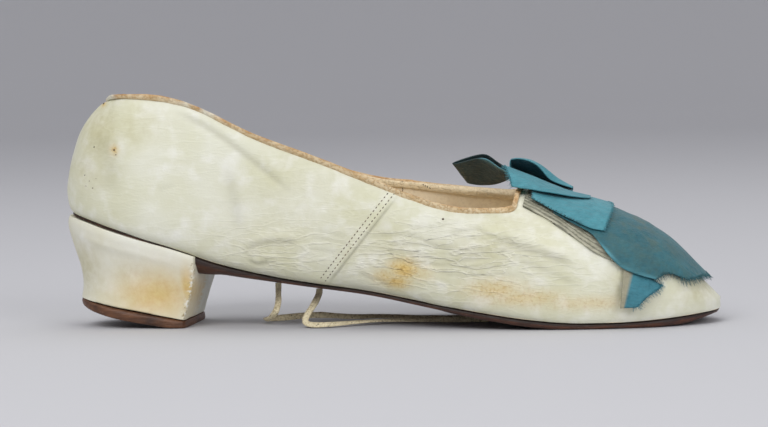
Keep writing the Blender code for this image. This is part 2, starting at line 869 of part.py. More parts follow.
# The two ends of tape: each drops from the waist, turns and lies on the floor
TAPE_RADIUS = 1.2
TIE_BACK_ROUTE = (
    (-41.2, -5.0, 15.3),
    (-41.1, -5.6, 13.4),
    (-40.9, -7.6, 11.0),
    (-40.6, -10.6, 8.4),
    (-41.4, -11.4, 5.4),
    (-43.4, -9.0, 2.9),
    (-45.6, -5.0, 1.6),
    (-46.6, -0.5, 1.3),
    (-44.4, 3.4, 1.3),
    (-40.0, 5.0, 1.5),
    (-34.0, 5.6, 2.0),
    (-27.0, 6.0, 2.2),
    (-16.0, 5.5, 1.6),
    (-6.0, 7.0, 1.5),
    (2.0, 6.5, 1.4),
    (10.0, 3.0, 1.3),
    (20.0, 0.5, 1.3),
    (28.0, -0.5, 1.3),
    (36.0, -1.0, 1.3),
)
TIE_FRONT_ROUTE = (
    (-25.9, -6.2, 13.1),
    (-26.0, -6.8, 11.4),
    (-26.6, -9.4, 9.4),
    (-27.9, -13.2, 6.8),
    (-29.4, -16.6, 4.2),
    (-29.6, -18.6, 2.0),
    (-26.8, -20.4, 1.3),
    (-22.0, -20.0, 1.3),
    (-16.6, -16.4, 1.3),
    (-11.0, -12.6, 1.4),
    (-4.0, -9.0, 1.5),
    (3.0, -6.6, 1.4),
    (11.0, -5.4, 1.3),
    (20.0, -5.0, 1.3),
    (28.0, -5.2, 1.3),
    (36.0, -5.6, 1.3),
)


def smooth_route(route, step):
    """Points a step apart along a smooth curve through the route."""
    spots = [Vector(p) for p in route]
    fine = []
    for i in range(len(spots) - 1):
        a = spots[max(i - 1, 0)]
        b, c = spots[i], spots[i + 1]
        d = spots[min(i + 2, len(spots) - 1)]
        for k in range(20):
            t = k / 20
            bend = (2 * a - 5 * b + 4 * c - d) * t * t + (3 * b - a - 3 * c + d) * t**3
            fine.append(b + ((c - a) * t + bend) / 2)
    fine.append(spots[-1])
    out = [fine[0]]
    for spot in fine[1:]:
        if (spot - out[-1]).length >= step:
            out.append(spot)
    return out


def make_tape(name, route):
    points = smooth_route(route, 3.0)
    curve = bpy.data.curves.new(name, "CURVE")
    curve.dimensions = "3D"
    curve.bevel_depth = TAPE_RADIUS * MM
    curve.bevel_resolution = 2
    curve.use_fill_caps = True
    spline = curve.splines.new("POLY")
    spline.points.add(len(points) - 1)
    for point, spot in zip(spline.points, points):
        point.co = (*(spot * MM), 1.0)
    obj = bpy.data.objects.new(name, curve)
    bpy.context.scene.collection.objects.link(obj)
    paint(obj, name, (0.55, 0.48, 0.32), 0.8)


for old in list(bpy.data.objects):
    bpy.data.objects.remove(old, do_unlink=True)

make_upper()
make_outsole()
make_insole()
make_heel()
make_top_lift()
make_binding()
ribbon("bow_ruche", 14, 14, ruche_place, RIBBON, (0.45, 0.45, 0.38))
ribbon("bow_long_tail", 16, 14, long_tail_place, RIBBON, BLUE)
ribbon("bow_corner_tail", 6, 4, corner_tail_place, RIBBON, BLUE)
ribbon("bow_short_tail", 10, 10, short_tail_place, RIBBON, BLUE)
ribbon("bow_flap", 10, 6, flap_place, RIBBON, BLUE)
ribbon("bow_top_loop", 30, 8, top_loop_place, RIBBON, BLUE)
ribbon("bow_back_loop", 20, 6, back_loop_place, RIBBON, BLUE)
make_tape("tie_back", TIE_BACK_ROUTE)
make_tape("tie_front", TIE_FRONT_ROUTE)
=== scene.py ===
# %% [markdown]
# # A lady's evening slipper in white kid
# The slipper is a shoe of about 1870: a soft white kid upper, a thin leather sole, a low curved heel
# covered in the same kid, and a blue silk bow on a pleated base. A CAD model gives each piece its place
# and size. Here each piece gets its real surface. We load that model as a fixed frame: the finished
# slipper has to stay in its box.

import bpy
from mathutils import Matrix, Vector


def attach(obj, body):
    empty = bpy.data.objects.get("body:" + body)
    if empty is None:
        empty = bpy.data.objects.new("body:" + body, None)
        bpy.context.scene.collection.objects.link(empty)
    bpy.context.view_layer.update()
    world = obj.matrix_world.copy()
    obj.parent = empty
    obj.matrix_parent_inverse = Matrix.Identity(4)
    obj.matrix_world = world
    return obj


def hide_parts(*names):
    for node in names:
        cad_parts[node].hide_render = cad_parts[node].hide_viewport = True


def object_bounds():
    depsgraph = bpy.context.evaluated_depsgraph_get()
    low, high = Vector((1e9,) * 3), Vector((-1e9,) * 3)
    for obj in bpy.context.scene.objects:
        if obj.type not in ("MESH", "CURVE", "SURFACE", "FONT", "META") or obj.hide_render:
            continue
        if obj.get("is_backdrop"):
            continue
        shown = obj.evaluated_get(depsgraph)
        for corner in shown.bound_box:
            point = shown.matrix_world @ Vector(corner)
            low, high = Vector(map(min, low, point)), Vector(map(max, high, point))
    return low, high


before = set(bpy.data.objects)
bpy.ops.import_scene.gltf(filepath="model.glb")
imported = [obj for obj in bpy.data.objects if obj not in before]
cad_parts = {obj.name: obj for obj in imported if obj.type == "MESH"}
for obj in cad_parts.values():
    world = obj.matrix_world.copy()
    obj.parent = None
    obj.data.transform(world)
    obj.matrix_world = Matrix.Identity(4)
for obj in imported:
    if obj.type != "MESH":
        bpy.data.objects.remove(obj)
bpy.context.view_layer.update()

# %% [markdown]
# ## The tools of this lesson
# Blender works in metres, and a shoemaker in millimetres, so one constant turns the one into the other.
# The toe points along +X, the near side is at -Y, and the floor is at Z = 0.

# %% Imports and the unit
import math
import random

import bmesh
import bpy
import numpy as np
from mathutils import Matrix, Vector, noise
from mathutils.bvhtree import BVHTree

MM = 0.001
scene = bpy.context.scene

# %% [markdown]
# ## The camera
# The picture is taken almost from the side, a little in front of the shoe and a little above the floor,
# and the whole picture leans by about a degree. A long lens keeps the shape flat. The camera looks at one
# point of the shoe, so it is placed from a distance, a height and a turn round that point.

# %% Camera
AIM = Vector((-2.3, 0.0, 40.0)) * MM
EYE_DISTANCE = 880 * MM
EYE_HEIGHT = 90 * MM
EYE_TURN = math.radians(5.5)
PICTURE_LEAN = math.radians(0.95)
PICTURE_WIDTH = 768
FOCUS_PX = 2402.0
SENSOR = 36.0

camera = bpy.data.objects.new("camera", bpy.data.cameras.new("camera"))
scene.collection.objects.link(camera)
camera.data.sensor_width = SENSOR
camera.data.lens = SENSOR * FOCUS_PX / PICTURE_WIDTH
camera.data.clip_start = 0.01
eye = Vector((AIM.x + EYE_DISTANCE * math.sin(EYE_TURN), -EYE_DISTANCE * math.cos(EYE_TURN), EYE_HEIGHT))
facing = (AIM - eye).to_track_quat("-Z", "Y").to_matrix().to_4x4()
camera.matrix_world = Matrix.Translation(eye) @ facing @ Matrix.Rotation(-PICTURE_LEAN, 4, "Z")
scene.camera = camera
print("lens in mm", round(camera.data.lens, 1))

# %% [markdown]
# ## Colours and nodes
# Colours are written as they look on a screen, in hex, and one function turns them into the linear light
# that the shaders add up. One more function adds a node with its settings, values and links. Sizes of
# patterns are given in millimetres: a noise texture repeats once in a unit, so its scale is one over that.

# %% Colour, scale and node helpers
def linear(hex_code):
    parts = [int(hex_code[i : i + 2], 16) / 255 for i in (1, 3, 5)]
    return tuple(c / 12.92 if c <= 0.04045 else ((c + 0.055) / 1.055) ** 2.4 for c in parts) + (1.0,)


def per_mm(size):
    return 1.0 / (size * MM)


def add(tree, kind, settings=None, values=None, links=None):
    """Adds a node of that kind, with its settings, the values of its sockets and what feeds them."""
    made = tree.nodes.new("ShaderNode" + kind)
    for name, value in (settings or {}).items():
        setattr(made, name, value)
    for name, value in (values or {}).items():
        made.inputs[name].default_value = value
    for name, source in (links or {}).items():
        tree.links.new(source, made.inputs[name])
    return made


def start_material(name, roughness):
    material = bpy.data.materials.new(name)
    material.use_nodes = True
    tree = material.node_tree
    shader = tree.nodes["Principled BSDF"]
    shader.inputs["Roughness"].default_value = roughness
    return material, tree, shader, add(tree, "TexCoord").outputs["Object"]


def blotches(tree, place, size, start, end, stretch=(1, 1, 1), detail=3.0):
    """A mask of soft patches of a size in millimetres: none below start, full above end."""
    shaped = add(tree, "Mapping", values={"Scale": stretch}, links={"Vector": place})
    patches = add(
        tree,
        "TexNoise",
        values={"Scale": per_mm(size), "Detail": detail},
        links={"Vector": shaped.outputs[0]},
    )
    spread = add(
        tree,
        "MapRange",
        values={"From Min": start, "From Max": end},
        links={"Value": patches.outputs["Fac"]},
    )
    return spread.outputs["Result"]


def mask_of(tree, *factors):
    """The product of masks, of names that are painted on the mesh's points, and of plain shares."""
    mask = None
    for factor in factors:
        if isinstance(factor, str):
            factor = add(tree, "Attribute", {"attribute_name": factor}).outputs["Fac"]
        if mask is None:
            mask = factor
        elif isinstance(factor, float):
            mask = add(tree, "Math", {"operation": "MULTIPLY"}, {1: factor}, {0: mask}).outputs[0]
        else:
            mask = add(tree, "Math", {"operation": "MULTIPLY"}, None, {0: mask, 1: factor}).outputs[0]
    return mask


def lay_colours(tree, shader, ground, layers):
    """Colours laid over a ground colour, each as thick as the product of its factors says."""
    below = None
    for colour, *factors in layers:
        links = {0: mask_of(tree, *factors)}
        if below:
            links[6] = below
        step = add(tree, "Mix", {"data_type": "RGBA"}, {6: linear(ground), 7: linear(colour)}, links)
        below = step.outputs[2]
    tree.links.new(below, shader.inputs["Base Color"])


def raise_surface(tree, shader, heights):
    """Bumps, each a height mask and its depth in millimetres, one on the other."""
    normal = None
    for height, depth in heights:
        links = {"Height": height}
        if normal:
            links["Normal"] = normal
        bump = add(tree, "Bump", values={"Distance": depth * MM, "Strength": 1.0}, links=links)
        normal = bump.outputs["Normal"]
    tree.links.new(normal, shader.inputs["Normal"])


# %% [markdown]
# ## Floor and light
# The shoe stands on plain pale paper that curves up all round, far away, so that it can be looked at from
# every side without an edge or a corner. The profile of that paper is a line, and a full spin turns it
# into a dish. Large soft lamps stand above and in front, with the main one on the left.

# %% Paper and lamps
def object_of(bm, name, look):
    """A smooth object of one material from a mesh that is built."""
    mesh = bpy.data.meshes.new(name)
    bm.to_mesh(mesh)
    bm.free()
    for face in mesh.polygons:
        face.use_smooth = True
    mesh.materials.clear()
    mesh.materials.append(look)
    obj = bpy.data.objects.new(name, mesh)
    scene.collection.objects.link(obj)
    return obj


PAPER_FLAT = 3.0
PAPER_RISE = 2.0
PAPER_STEPS = 48
CURVE_STEPS = 8
paper_bm = bmesh.new()
profile = [(0.0, 0.0), (PAPER_FLAT / 2, 0.0)]
for k in range(CURVE_STEPS + 1):
    angle = math.pi / 2 * k / CURVE_STEPS
    profile.append((PAPER_FLAT + PAPER_RISE * math.sin(angle), PAPER_RISE * (1 - math.cos(angle))))
spots = [paper_bm.verts.new((r, 0.0, z)) for r, z in profile]
lines = [paper_bm.edges.new(pair) for pair in zip(spots, spots[1:])]
bmesh.ops.spin(
    paper_bm,
    geom=spots + lines,
    cent=(0, 0, 0),
    axis=(0, 0, 1),
    angle=2 * math.pi,
    steps=PAPER_STEPS,
    use_merge=True,
)
bmesh.ops.remove_doubles(paper_bm, verts=paper_bm.verts[:], dist=0.001)
bmesh.ops.recalc_face_normals(paper_bm, faces=paper_bm.faces[:])
# matt paper: one even tone, so that nothing draws the eye from the shoe
paper_look, _, shader, _ = start_material("pale grey paper", 0.9)
shader.inputs["Base Color"].default_value = linear("#C2C2C5")
paper = object_of(paper_bm, "paper", paper_look)
paper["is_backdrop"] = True

LAMPS = (
    ("key", (-0.55, -1.25, 1.15), 1.1, 12.0),
    ("fill", (0.95, -1.0, 0.6), 1.0, 6.0),
    ("top", (0.1, 0.35, 1.5), 1.4, 5.0),
)
for lamp_name, stand, width, watts in LAMPS:
    lamp = bpy.data.objects.new(lamp_name, bpy.data.lights.new(lamp_name, "AREA"))
    lamp.data.shape = "DISK"
    lamp.data.size = width
    lamp.data.energy = watts
    lamp.location = stand
    lamp.rotation_euler = (AIM - Vector(stand)).to_track_quat("-Z", "Y").to_euler()
    scene.collection.objects.link(lamp)
room = bpy.data.worlds.new("room")
room.use_nodes = True
room.node_tree.nodes["Background"].inputs["Color"].default_value = linear("#D6D6DA")
room.node_tree.nodes["Background"].inputs["Strength"].default_value = 0.9
scene.world = room
scene.view_settings.view_transform = "Standard"
print("paper faces", len(paper.data.polygons), "and lamps", len(LAMPS))

# %% [markdown]
# ## From a CAD solid to a soft piece
# A CAD node arrives as loose triangles. A merged copy, with its triangles paired into quads again, can be
# rounded by a Subdivision Surface. Edges that should stay firm, as on a sole, are held by a crease. The
# CAD nodes themselves are never touched: each new piece stands for its node and rides on the same body.

# %% Helpers for pieces
def copy_of(node):
    bm = bmesh.new()
    bm.from_mesh(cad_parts[node].data)
    bmesh.ops.remove_doubles(bm, verts=bm.verts[:], dist=0.01 * MM)
    bmesh.ops.join_triangles(
        bm,
        faces=bm.faces[:],
        angle_face_threshold=math.radians(35),
        angle_shape_threshold=math.radians(50),
    )
    return bm


def rounded(bm, levels, hold=0.0, hold_angle=40.0):
    """A Subdivision Surface on the mesh, with its sharp edges held as firmly as hold says."""
    crease = bm.edges.layers.float.get("crease_edge") or bm.edges.layers.float.new("crease_edge")
    for edge in bm.edges:
        if hold and len(edge.link_faces) == 2 and edge.calc_face_angle() > math.radians(hold_angle):
            edge[crease] = hold
    mesh = bpy.data.meshes.new("rough")
    bm.to_mesh(mesh)
    bm.free()
    rough = bpy.data.objects.new("rough", mesh)
    scene.collection.objects.link(rough)
    subdivision = rough.modifiers.new("Subdivision", "SUBSURF")
    subdivision.levels = subdivision.render_levels = levels
    fine = bmesh.new()
    fine.from_object(rough, bpy.context.evaluated_depsgraph_get())
    bpy.data.objects.remove(rough)
    return fine


def finish_piece(bm, name, look, node=None):
    """A piece of the shoe in its finish, which may stand for a CAD node and then hides it."""
    obj = object_of(bm, name, look)
    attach(obj, "root")
    if node:
        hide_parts(node)
    print(name, len(obj.data.polygons), "faces")
    return obj


def points_of(obj):
    """The points of a piece in millimetres, and their normals."""
    count = len(obj.data.vertices)
    spots = np.zeros(count * 3)
    normals = np.zeros(count * 3, np.float32)
    obj.data.vertices.foreach_get("co", spots)
    obj.data.vertex_normals.foreach_get("vector", normals)
    return spots.reshape(-1, 3) / MM, normals.reshape(-1, 3).astype(float)


def put_points(obj, spots):
    obj.data.vertices.foreach_set("co", (spots * MM).ravel())
    obj.data.update()


def paint_points(obj, name, amount):
    layer = obj.data.attributes.new(name, "FLOAT", "POINT")
    layer.data.foreach_set("value", np.clip(amount, 0.0, 1.0).astype(np.float32))


def unevenness(spots, *waves):
    """Smooth disorder at each spot: a sum of waves, each with its size in millimetres and its share."""
    total = np.zeros(len(spots))
    for size, share in waves:
        total += share * np.array([noise.noise(Vector(spot) / size) for spot in spots])
    return total


# %% [markdown]
# ## Lines on the shoe
# Creases, seams and stitches follow lines that are given by a few points, in millimetres along the shoe
# and up from the floor. A smooth curve runs through the points, and every point of a surface can ask how
# far it is from the line, and where along it.

# %% Line helpers
def smooth_line(route, steps=8):
    """A smooth curve through a route's points, with that many steps between two of them."""
    spots = np.array(route, float)
    ends = np.vstack([spots[:1], spots, spots[-1:]])
    fine = []
    for a, b, c, d in zip(ends, ends[1:], ends[2:], ends[3:]):
        for t in np.arange(steps) / steps:
            bend = (2 * a - 5 * b + 4 * c - d) * t**2 + (3 * b - a - 3 * c + d) * t**3
            fine.append(b + ((c - a) * t + bend) / 2)
    return np.array([*fine, spots[-1]])


def beside(spots, line):
    """How far each spot is from a line, and its share of the way along it."""
    gap = np.full(len(spots), 1e9)
    share = np.zeros(len(spots))
    lengths = np.linalg.norm(np.diff(line, axis=0), axis=1)
    done = 0.0
    for a, b, length in zip(line, line[1:], lengths):
        t = np.clip((spots - a) @ (b - a) / length**2, 0, 1)
        away = np.linalg.norm(spots - a - t[:, None] * (b - a), axis=1)
        nearer = away < gap
        gap[nearer] = away[nearer]
        share[nearer] = (done + t[nearer] * length) / lengths.sum()
        done += length
    return gap, share


def soft_step(low, high, values):
    t = np.clip((values - low) / (high - low), 0, 1)
    return t * t * (3 - 2 * t)


def bell(*shares):
    """1 where all shares are 0, and fading towards 0 where one of them passes 1."""
    return np.exp(-sum(share**2 for share in shares))


def along_line(spots, line, width):
    """1 on a line and fading to 0 a width away, also towards its two ends."""
    gap, share = beside(spots, line)
    return bell(gap / width) * soft_step(0, 0.22, share) * soft_step(1, 0.78, share)


# %% [markdown]
# ## The upper
# The upper is white kid, thin and soft, drawn over a last. The quarter laps over the vamp at the slanting
# side seam. The CAD solid has an outer and an inner skin: the outer one becomes the kid and the inner one
# the lining, so each can be as fine as it needs. Three rounds of subdivision give the kid a point about
# every 0.8 mm, fine enough to model the creases in its shape. Their troughs also get painted shade.

# %% The kid's shell and the lining
AXIS_BACK = (-88.0, 55.0)
AXIS_FRONT = (96.0, 12.0)


def looks_out(face):
    """Whether a face of the upper looks away from the axis of the shoe."""
    middle = face.calc_center_median() / MM
    x = min(max(middle.x, AXIS_BACK[0]), AXIS_FRONT[0])
    z = np.interp(x, (AXIS_BACK[0], AXIS_FRONT[0]), (AXIS_BACK[1], AXIS_FRONT[1]))
    return (middle - Vector((x, 0.0, z))).dot(face.normal) > 0


def half_of_upper(outer):
    bm = copy_of("upper")
    bmesh.ops.delete(bm, geom=[f for f in bm.faces if looks_out(f) != outer], context="FACES")
    return bm


shell_bm = rounded(half_of_upper(True), 3)
lining_bm = rounded(half_of_upper(False), 2)
print("faces of the kid and of the lining", len(shell_bm.faces), len(lining_bm.faces))

# %% [markdown]
# The finish is alum-tawed kid, dressed white and brushed: a soft satin leather that yellows with age. It
# gets a mottled ground, and soil and stains where they were painted on the mesh; one patch of the soil is
# painted shade. The creases are darkened with painted shade. Its grain is finer than the picture can show,
# so it is drawn at 0.7 mm. Fine wrinkles run along the shoe, so their noise is stretched that way, and each
# wrinkle line gets a painted highlight with a little rubbed pale colour.

# %% White kid
WRINKLE_LIE = (0.24, 0.6, 1.0)


def kid_leather(name, ground, yellow, wrinkles=(), speckle=0.1):
    look, tree, shader, place = start_material(name, 0.52)
    warm = blotches(tree, place, 22.0, 0.38, 0.68)
    cool = blotches(tree, place, 7.0, 0.5, 0.72)
    cloud = blotches(tree, place, 2.2, 0.3, 0.75)
    specks = blotches(tree, place, 1.0, 0.5, 0.64)
    heights = [(blotches(tree, place, 0.7, 0.2, 0.8), 0.03)]
    wrinkle_rub_and_highlight = []
    for size, high in wrinkles:
        # a line is where the noise passes its middle: up to it from one side, and from the other
        rising = blotches(tree, place, size, 0.46, 0.5, WRINKLE_LIE, 2.0)
        falling = blotches(tree, place, size, 0.54, 0.5, WRINKLE_LIE, 2.0)
        lines = mask_of(tree, rising, falling, "flex")
        heights.insert(0, (lines, high))
        # a painted highlight along each wrinkle line, where its ridge catches the light, with a little
        # rubbed pale colour
        wrinkle_rub_and_highlight.append(("#FBFAF2", lines, 0.35))
    layers = [
        (yellow, warm, 0.75),
        ("#F1F1EA", cool, 0.55),
        *wrinkle_rub_and_highlight,
        # soil, and painted shade beside the hanging corner of the ribbon
        ("#B9AE74", "soil", 0.34),
        ("#A99F68", "soil", cloud, 0.52),
        ("#DCBC65", "stain", 0.85),
        ("#C48A3A", "stain", cloud, 0.35),
        ("#B58F45", "stain", specks, speckle),
        # painted shade in the creases
        ("#8E8A70", "crease", 0.3),
        ("#F6F4EA", "edge", blotches(tree, place, 1.3, 0.5, 0.56)),
        ("#A39470", "edge", blotches(tree, place, 1.7, 0.52, 0.6)),
    ]
    lay_colours(tree, shader, ground, layers)
    raise_surface(tree, shader, heights)
    gloss = add(tree, "MapRange", values={"To Min": 0.44, "To Max": 0.62}, links={"Value": cloud})
    tree.links.new(gloss.outputs["Result"], shader.inputs["Roughness"])
    return look


# the size of the wrinkles and how high they stand
WRINKLES = ((4.5, 0.24), (2.6, 0.15))
white_kid = kid_leather("white kid leather", "#E1E1CF", "#D2D1AF", WRINKLES, speckle=0.75)
upper = finish_piece(shell_bm, "kid_upper", white_kid, "upper")

# %% [markdown]
# The creases are placed as a table: a line along the side, its half width and its depth. A minus
# depth is a trough and a plus depth a ridge. The side of the vamp bends with each step, so it has many
# fine long wrinkles. The quarter has one long crease from the collar and a soft upright one. The far side
# takes the same table a little further forward, because nothing shows what is there.

# %% Creases
CREASES = (
    (((-78, 79.5), (-69.7, 76.1), (-60.7, 70.9), (-50, 63), (-39.3, 54.5), (-31, 47.6)), 1.1, -0.32),
    (((-76, 81.4), (-68, 78.6), (-59, 73.4), (-48, 65.6), (-37, 56.8), (-29, 50)), 3.0, 0.32),
    (((-58, 60), (-56.1, 55.8), (-55.1, 52.2), (-54.1, 46.8), (-53.2, 41.4), (-52.6, 34)), 2.4, -0.2),
    (((-54, 60), (-52, 54), (-50.6, 46), (-49.8, 39), (-49.4, 33)), 3.0, 0.16),
    (((-51.6, 26), (-49.5, 28.6), (-45.2, 30.6), (-39.1, 31.3), (-30, 31)), 0.9, -0.34),
    (((-50, 30.4), (-45.2, 32.8), (-39.1, 33.6), (-30, 33)), 1.6, 0.4),
    (((-50, 25.4), (-47.5, 24.0), (-45, 23.4), (-41, 24.6)), 0.8, -0.35),
    (((-48, 22.8), (-45.5, 25.2), (-42, 26.2), (-37, 25)), 1.0, 0.3),
    (((-82, 50.4), (-78.5, 51.6), (-75, 52.3)), 0.6, -0.16),
    (((-25, 35.8), (-20, 34.8), (-12, 32.8)), 0.7, -0.2),
    (((-26, 33.1), (-20, 32.2), (-11, 30.4)), 0.7, -0.2),
    (((-28, 29), (-23, 28.5), (-16, 27.6)), 0.7, -0.18),
    (((-8, 33), (-2, 33.4), (9.2, 33.8), (20.7, 29.8), (29, 31.2)), 0.7, -0.24),
    (((-4, 31.2), (4, 30.6), (12.4, 30.6), (25.1, 28.7), (34, 28.6), (43, 30.2)), 0.7, -0.26),
    (((-9, 28.7), (0, 28.4), (9.2, 27.4), (21.9, 25.2), (33, 25.2), (46, 26.7)), 0.75, -0.26),
    (((-5, 26), (5, 25), (15.5, 23.6), (25, 22.6), (34.6, 22.4), (48, 23.2)), 0.75, -0.22),
    (((-10, 20), (-4, 18.2), (0, 16.4), (4, 15.2)), 0.7, -0.22),
    (((20, 33.4), (26, 34.4), (33.1, 35.9), (37, 34.2), (41.3, 32.1), (50, 30)), 0.75, -0.28),
    (((16, 27), (20.4, 27.4), (31.8, 26.8), (39.4, 28.4), (52, 29.4)), 0.65, -0.24),
    (((14, 22.8), (20.4, 23.4), (28, 24.2), (36.2, 26.4), (42, 28)), 0.65, -0.22),
    (((6, 37), (14, 36.4), (22, 37.4), (30, 38.6)), 0.7, -0.16),
    (((18, 20.4), (28, 19.4), (38, 20), (50, 19.6)), 0.7, -0.16),
    (((28, 31.4), (34, 33), (40, 30.8), (46, 31.8)), 0.6, -0.2),
    (((34, 36), (43, 34), (52, 31.4), (62, 27.4), (73, 22.6)), 2.4, 0.8),
    (((40, 33), (48, 29.6), (58, 26.4), (68, 22.6)), 1.4, -0.42),
    (((52, 38), (60, 35), (68, 31.4), (73, 27.4)), 1.3, 0.24),
    (((46, 25), (54, 22.6), (62, 19), (70, 15)), 1.2, -0.2),
    (((-106, 72), (-101, 64), (-99, 56), (-100, 48)), 4.0, -0.2),
)
LAP = (
    (((6.0, 48.2), (-7.1, 32.2), (-22.2, 13.9)), 0.5, -0.38),
    (((5.2, 48.9), (-7.9, 32.9), (-23.0, 14.6)), 0.85, 0.32),
)
FAR_SHIFT = np.array((5.0, -1.0))
FULL_CREASE_SHADE = 0.35
KID_UNEVEN = 0.22


def crease_skin(spots, table, far_shift=FAR_SHIFT):
    """How far each spot moves outwards, and how much painted shade its crease gives it there."""
    move = np.zeros(len(spots))
    crease_shade_share = np.zeros(len(spots))
    near = spots[:, 1] < 0
    for route, width, depth in table:
        for side, shift in ((near, 0 * far_shift), (~near, far_shift)):
            touch = along_line(spots[side][:, (0, 2)], smooth_line(route) + shift, width)
            move[side] += depth * touch
            if depth < 0:
                crease_shade_share[side] = np.maximum(crease_shade_share[side], touch * min(1.0, -depth / FULL_CREASE_SHADE))
    return move, crease_shade_share


skin, skin_out = points_of(upper)
move, crease_shade = crease_skin(skin, CREASES)
lap_move, lap_crease_shade = crease_skin(skin, LAP, 0 * FAR_SHIFT)
move += lap_move
crease_shade = np.maximum(crease_shade, lap_crease_shade)
uneven = unevenness(skin, (16.0, 1.0), (6.0, 0.4))
put_points(upper, skin + skin_out * (move + KID_UNEVEN * uneven)[:, None])
# painted shade in the troughs of the creases
paint_points(upper, "crease", crease_shade)
print("deepest and highest move in mm", round(move.min(), 2), round(move.max(), 2))

# %% [markdown]
# Wear has its places too, and so has one patch of painted shade. Each spot of the table is an ellipse on
# the side of the shoe, and is painted on the mesh's points: what it is, the side, x and z, half its length,
# half its height and its strength. The material breaks up its edges. The bending mask says where the fine
# wrinkles are, in the same way.

# %% Soil, stains, painted shade and where the leather bends
SPOTS = (
    ("stain", -1, 7.4, 21.8, 5.0, 3.6, 1.0),
    ("stain", -1, 4.7, 17.2, 4.6, 2.4, 0.9),
    ("stain", -1, 0.4, 19.0, 4.5, 2.6, 0.55),
    ("stain", -1, 12.0, 20.5, 6.0, 3.0, 0.35),
    ("stain", -1, 40.0, 14.5, 10.0, 3.6, 0.55),
    ("stain", -1, 50.0, 11.5, 14.0, 3.0, 0.5),
    ("stain", -1, 72.0, 9.5, 16.0, 2.6, 0.35),
    ("stain", -1, -97.6, 65.3, 1.6, 1.6, 0.8),
    ("stain", -1, -103.5, 81.9, 1.2, 1.0, 0.8),
    ("soil", -1, -104.0, 72.0, 9.0, 12.0, 0.75),
    ("soil", -1, -108.0, 58.0, 8.0, 9.0, 0.45),
    ("soil", -1, -90.0, 74.0, 12.0, 8.0, 0.4),
    ("soil", -1, -40.0, 30.0, 22.0, 14.0, 0.34),
    ("soil", -1, -30.0, 48.0, 30.0, 16.0, 0.2),
    ("soil", -1, 0.0, 28.0, 20.0, 13.0, 0.42),
    ("soil", -1, 34.0, 27.0, 28.0, 11.0, 0.44),
    ("soil", -1, 44.0, 40.0, 24.0, 10.0, 0.36),
    ("soil", -1, 112.0, 13.0, 7.0, 5.0, 0.75),
    # painted shade on the vamp, where the hanging corner of the ribbon shades it
    ("soil", -1, 84.0, 15.0, 5.0, 9.0, 0.6),
    ("soil", 1, -106.0, 64.0, 11.0, 14.0, 0.7),
    ("soil", 1, 20.0, 22.0, 26.0, 8.0, 0.4),
    ("stain", 1, -20.0, 24.0, 6.0, 4.0, 0.7),
    ("stain", 1, 56.0, 11.0, 16.0, 3.0, 0.5),
)


def spotted(spots, kind, table):
    amount = np.zeros(len(spots))
    for what, side, x, z, long, high, strength in table:
        if what == kind:
            patch = bell((spots[:, 0] - x) / long, (spots[:, 2] - z) / high)
            amount = np.maximum(amount, strength * patch * (spots[:, 1] * side > 0))
    return amount


for kind in ("soil", "stain"):
    paint_points(upper, kind, spotted(skin, kind, SPOTS))
BENDS = (
    (24.0, 26.0, 40.0, 12.0, 1.0),
    (-38.0, 28.0, 22.0, 9.0, 0.6),
)
FLEX_LEAST = 0.12
FLEX_MORE = 0.9
flex = np.zeros(len(skin))
for x, z, long, high, strength in BENDS:
    flex = np.maximum(flex, strength * bell((skin[:, 0] - x) / long, (skin[:, 2] - z) / high))
paint_points(upper, "flex", FLEX_LEAST + FLEX_MORE * flex)
print("share of the kid that bends", round(float((flex > 0.5).mean()), 2))

# %% [markdown]
# ## The lining
# Inside, the shoe is lined with fine tan twill, browner where the foot has rubbed it. It stays on the
# inner skin of the upper. The insole is covered with the same twill.

# %% Lining and insole
# a wave texture at scale 1 has a band every so much of a unit, straight on and on the slant
STRAIGHT_BAND = 2 * math.pi / 20
SLANT_BAND = 2 * math.pi / (10 * math.sqrt(3))


def twill(name, ground, dark):
    look, tree, shader, place = start_material(name, 0.85)
    wear_and_highlight = blotches(tree, place, 14.0, 0.4, 0.7)
    specks = blotches(tree, place, 1.2, 0.45, 0.8)
    layers = [(dark, wear_and_highlight, 0.8), ("#9A7A52", specks, 0.2)]
    lay_colours(tree, shader, ground, layers)
    # the ribs of a twill are 0.3 mm wide, finer than the picture; slanting waves of 6.5 mm give it its lie
    rib = add(
        tree,
        "TexWave",
        {"bands_direction": "DIAGONAL"},
        {"Scale": SLANT_BAND * per_mm(6.53), "Distortion": 0.6, "Detail Scale": 3.0},
        {"Vector": place},
    )
    raise_surface(tree, shader, [(rib.outputs["Fac"], 0.06)])
    return look


tan_twill = twill("tan twill lining", "#F4E6CA", "#DEC9A6")
lining = finish_piece(lining_bm, "lining", tan_twill)
insole_bm = rounded(copy_of("insole"), 2, hold=0.8)
insole = finish_piece(insole_bm, "insole_leather", tan_twill, "insole")
# the edge of the insole goes on to the lining, so that no dark slit shows between them
INSOLE_WIDER = 1.2
spots, out = points_of(insole)
put_points(insole, spots + out * np.array((INSOLE_WIDER, INSOLE_WIDER, 0.0)))

# %% [markdown]
# ## The sole and the lift
# The sole is one thin piece of oak-bark leather, dark brown with a redder edge at the waist. The lift under
# the heel is a thicker piece of the same. The edges of both stay firm, so their creases are held.

# %% Sole leather
def sole_leather(name, ground, red):
    look, tree, shader, place = start_material(name, 0.5)
    fibres = blotches(tree, place, 1.6, 0.35, 0.75, stretch=(0.25, 0.5, 1.6))
    rubbed = blotches(tree, place, 9.0, 0.45, 0.7)
    layers = [
        (red, fibres, 0.8),
        ("#2A1A16", rubbed, 0.7),
        ("#A88468", blotches(tree, place, 0.9, 0.62, 0.8), 0.35),
        ("#1A0F0B", "blacked"),
    ]
    lay_colours(tree, shader, ground, layers)
    raise_surface(tree, shader, [(fibres, 0.12), (blotches(tree, place, 0.8, 0.3, 0.7), 0.05)])
    return look


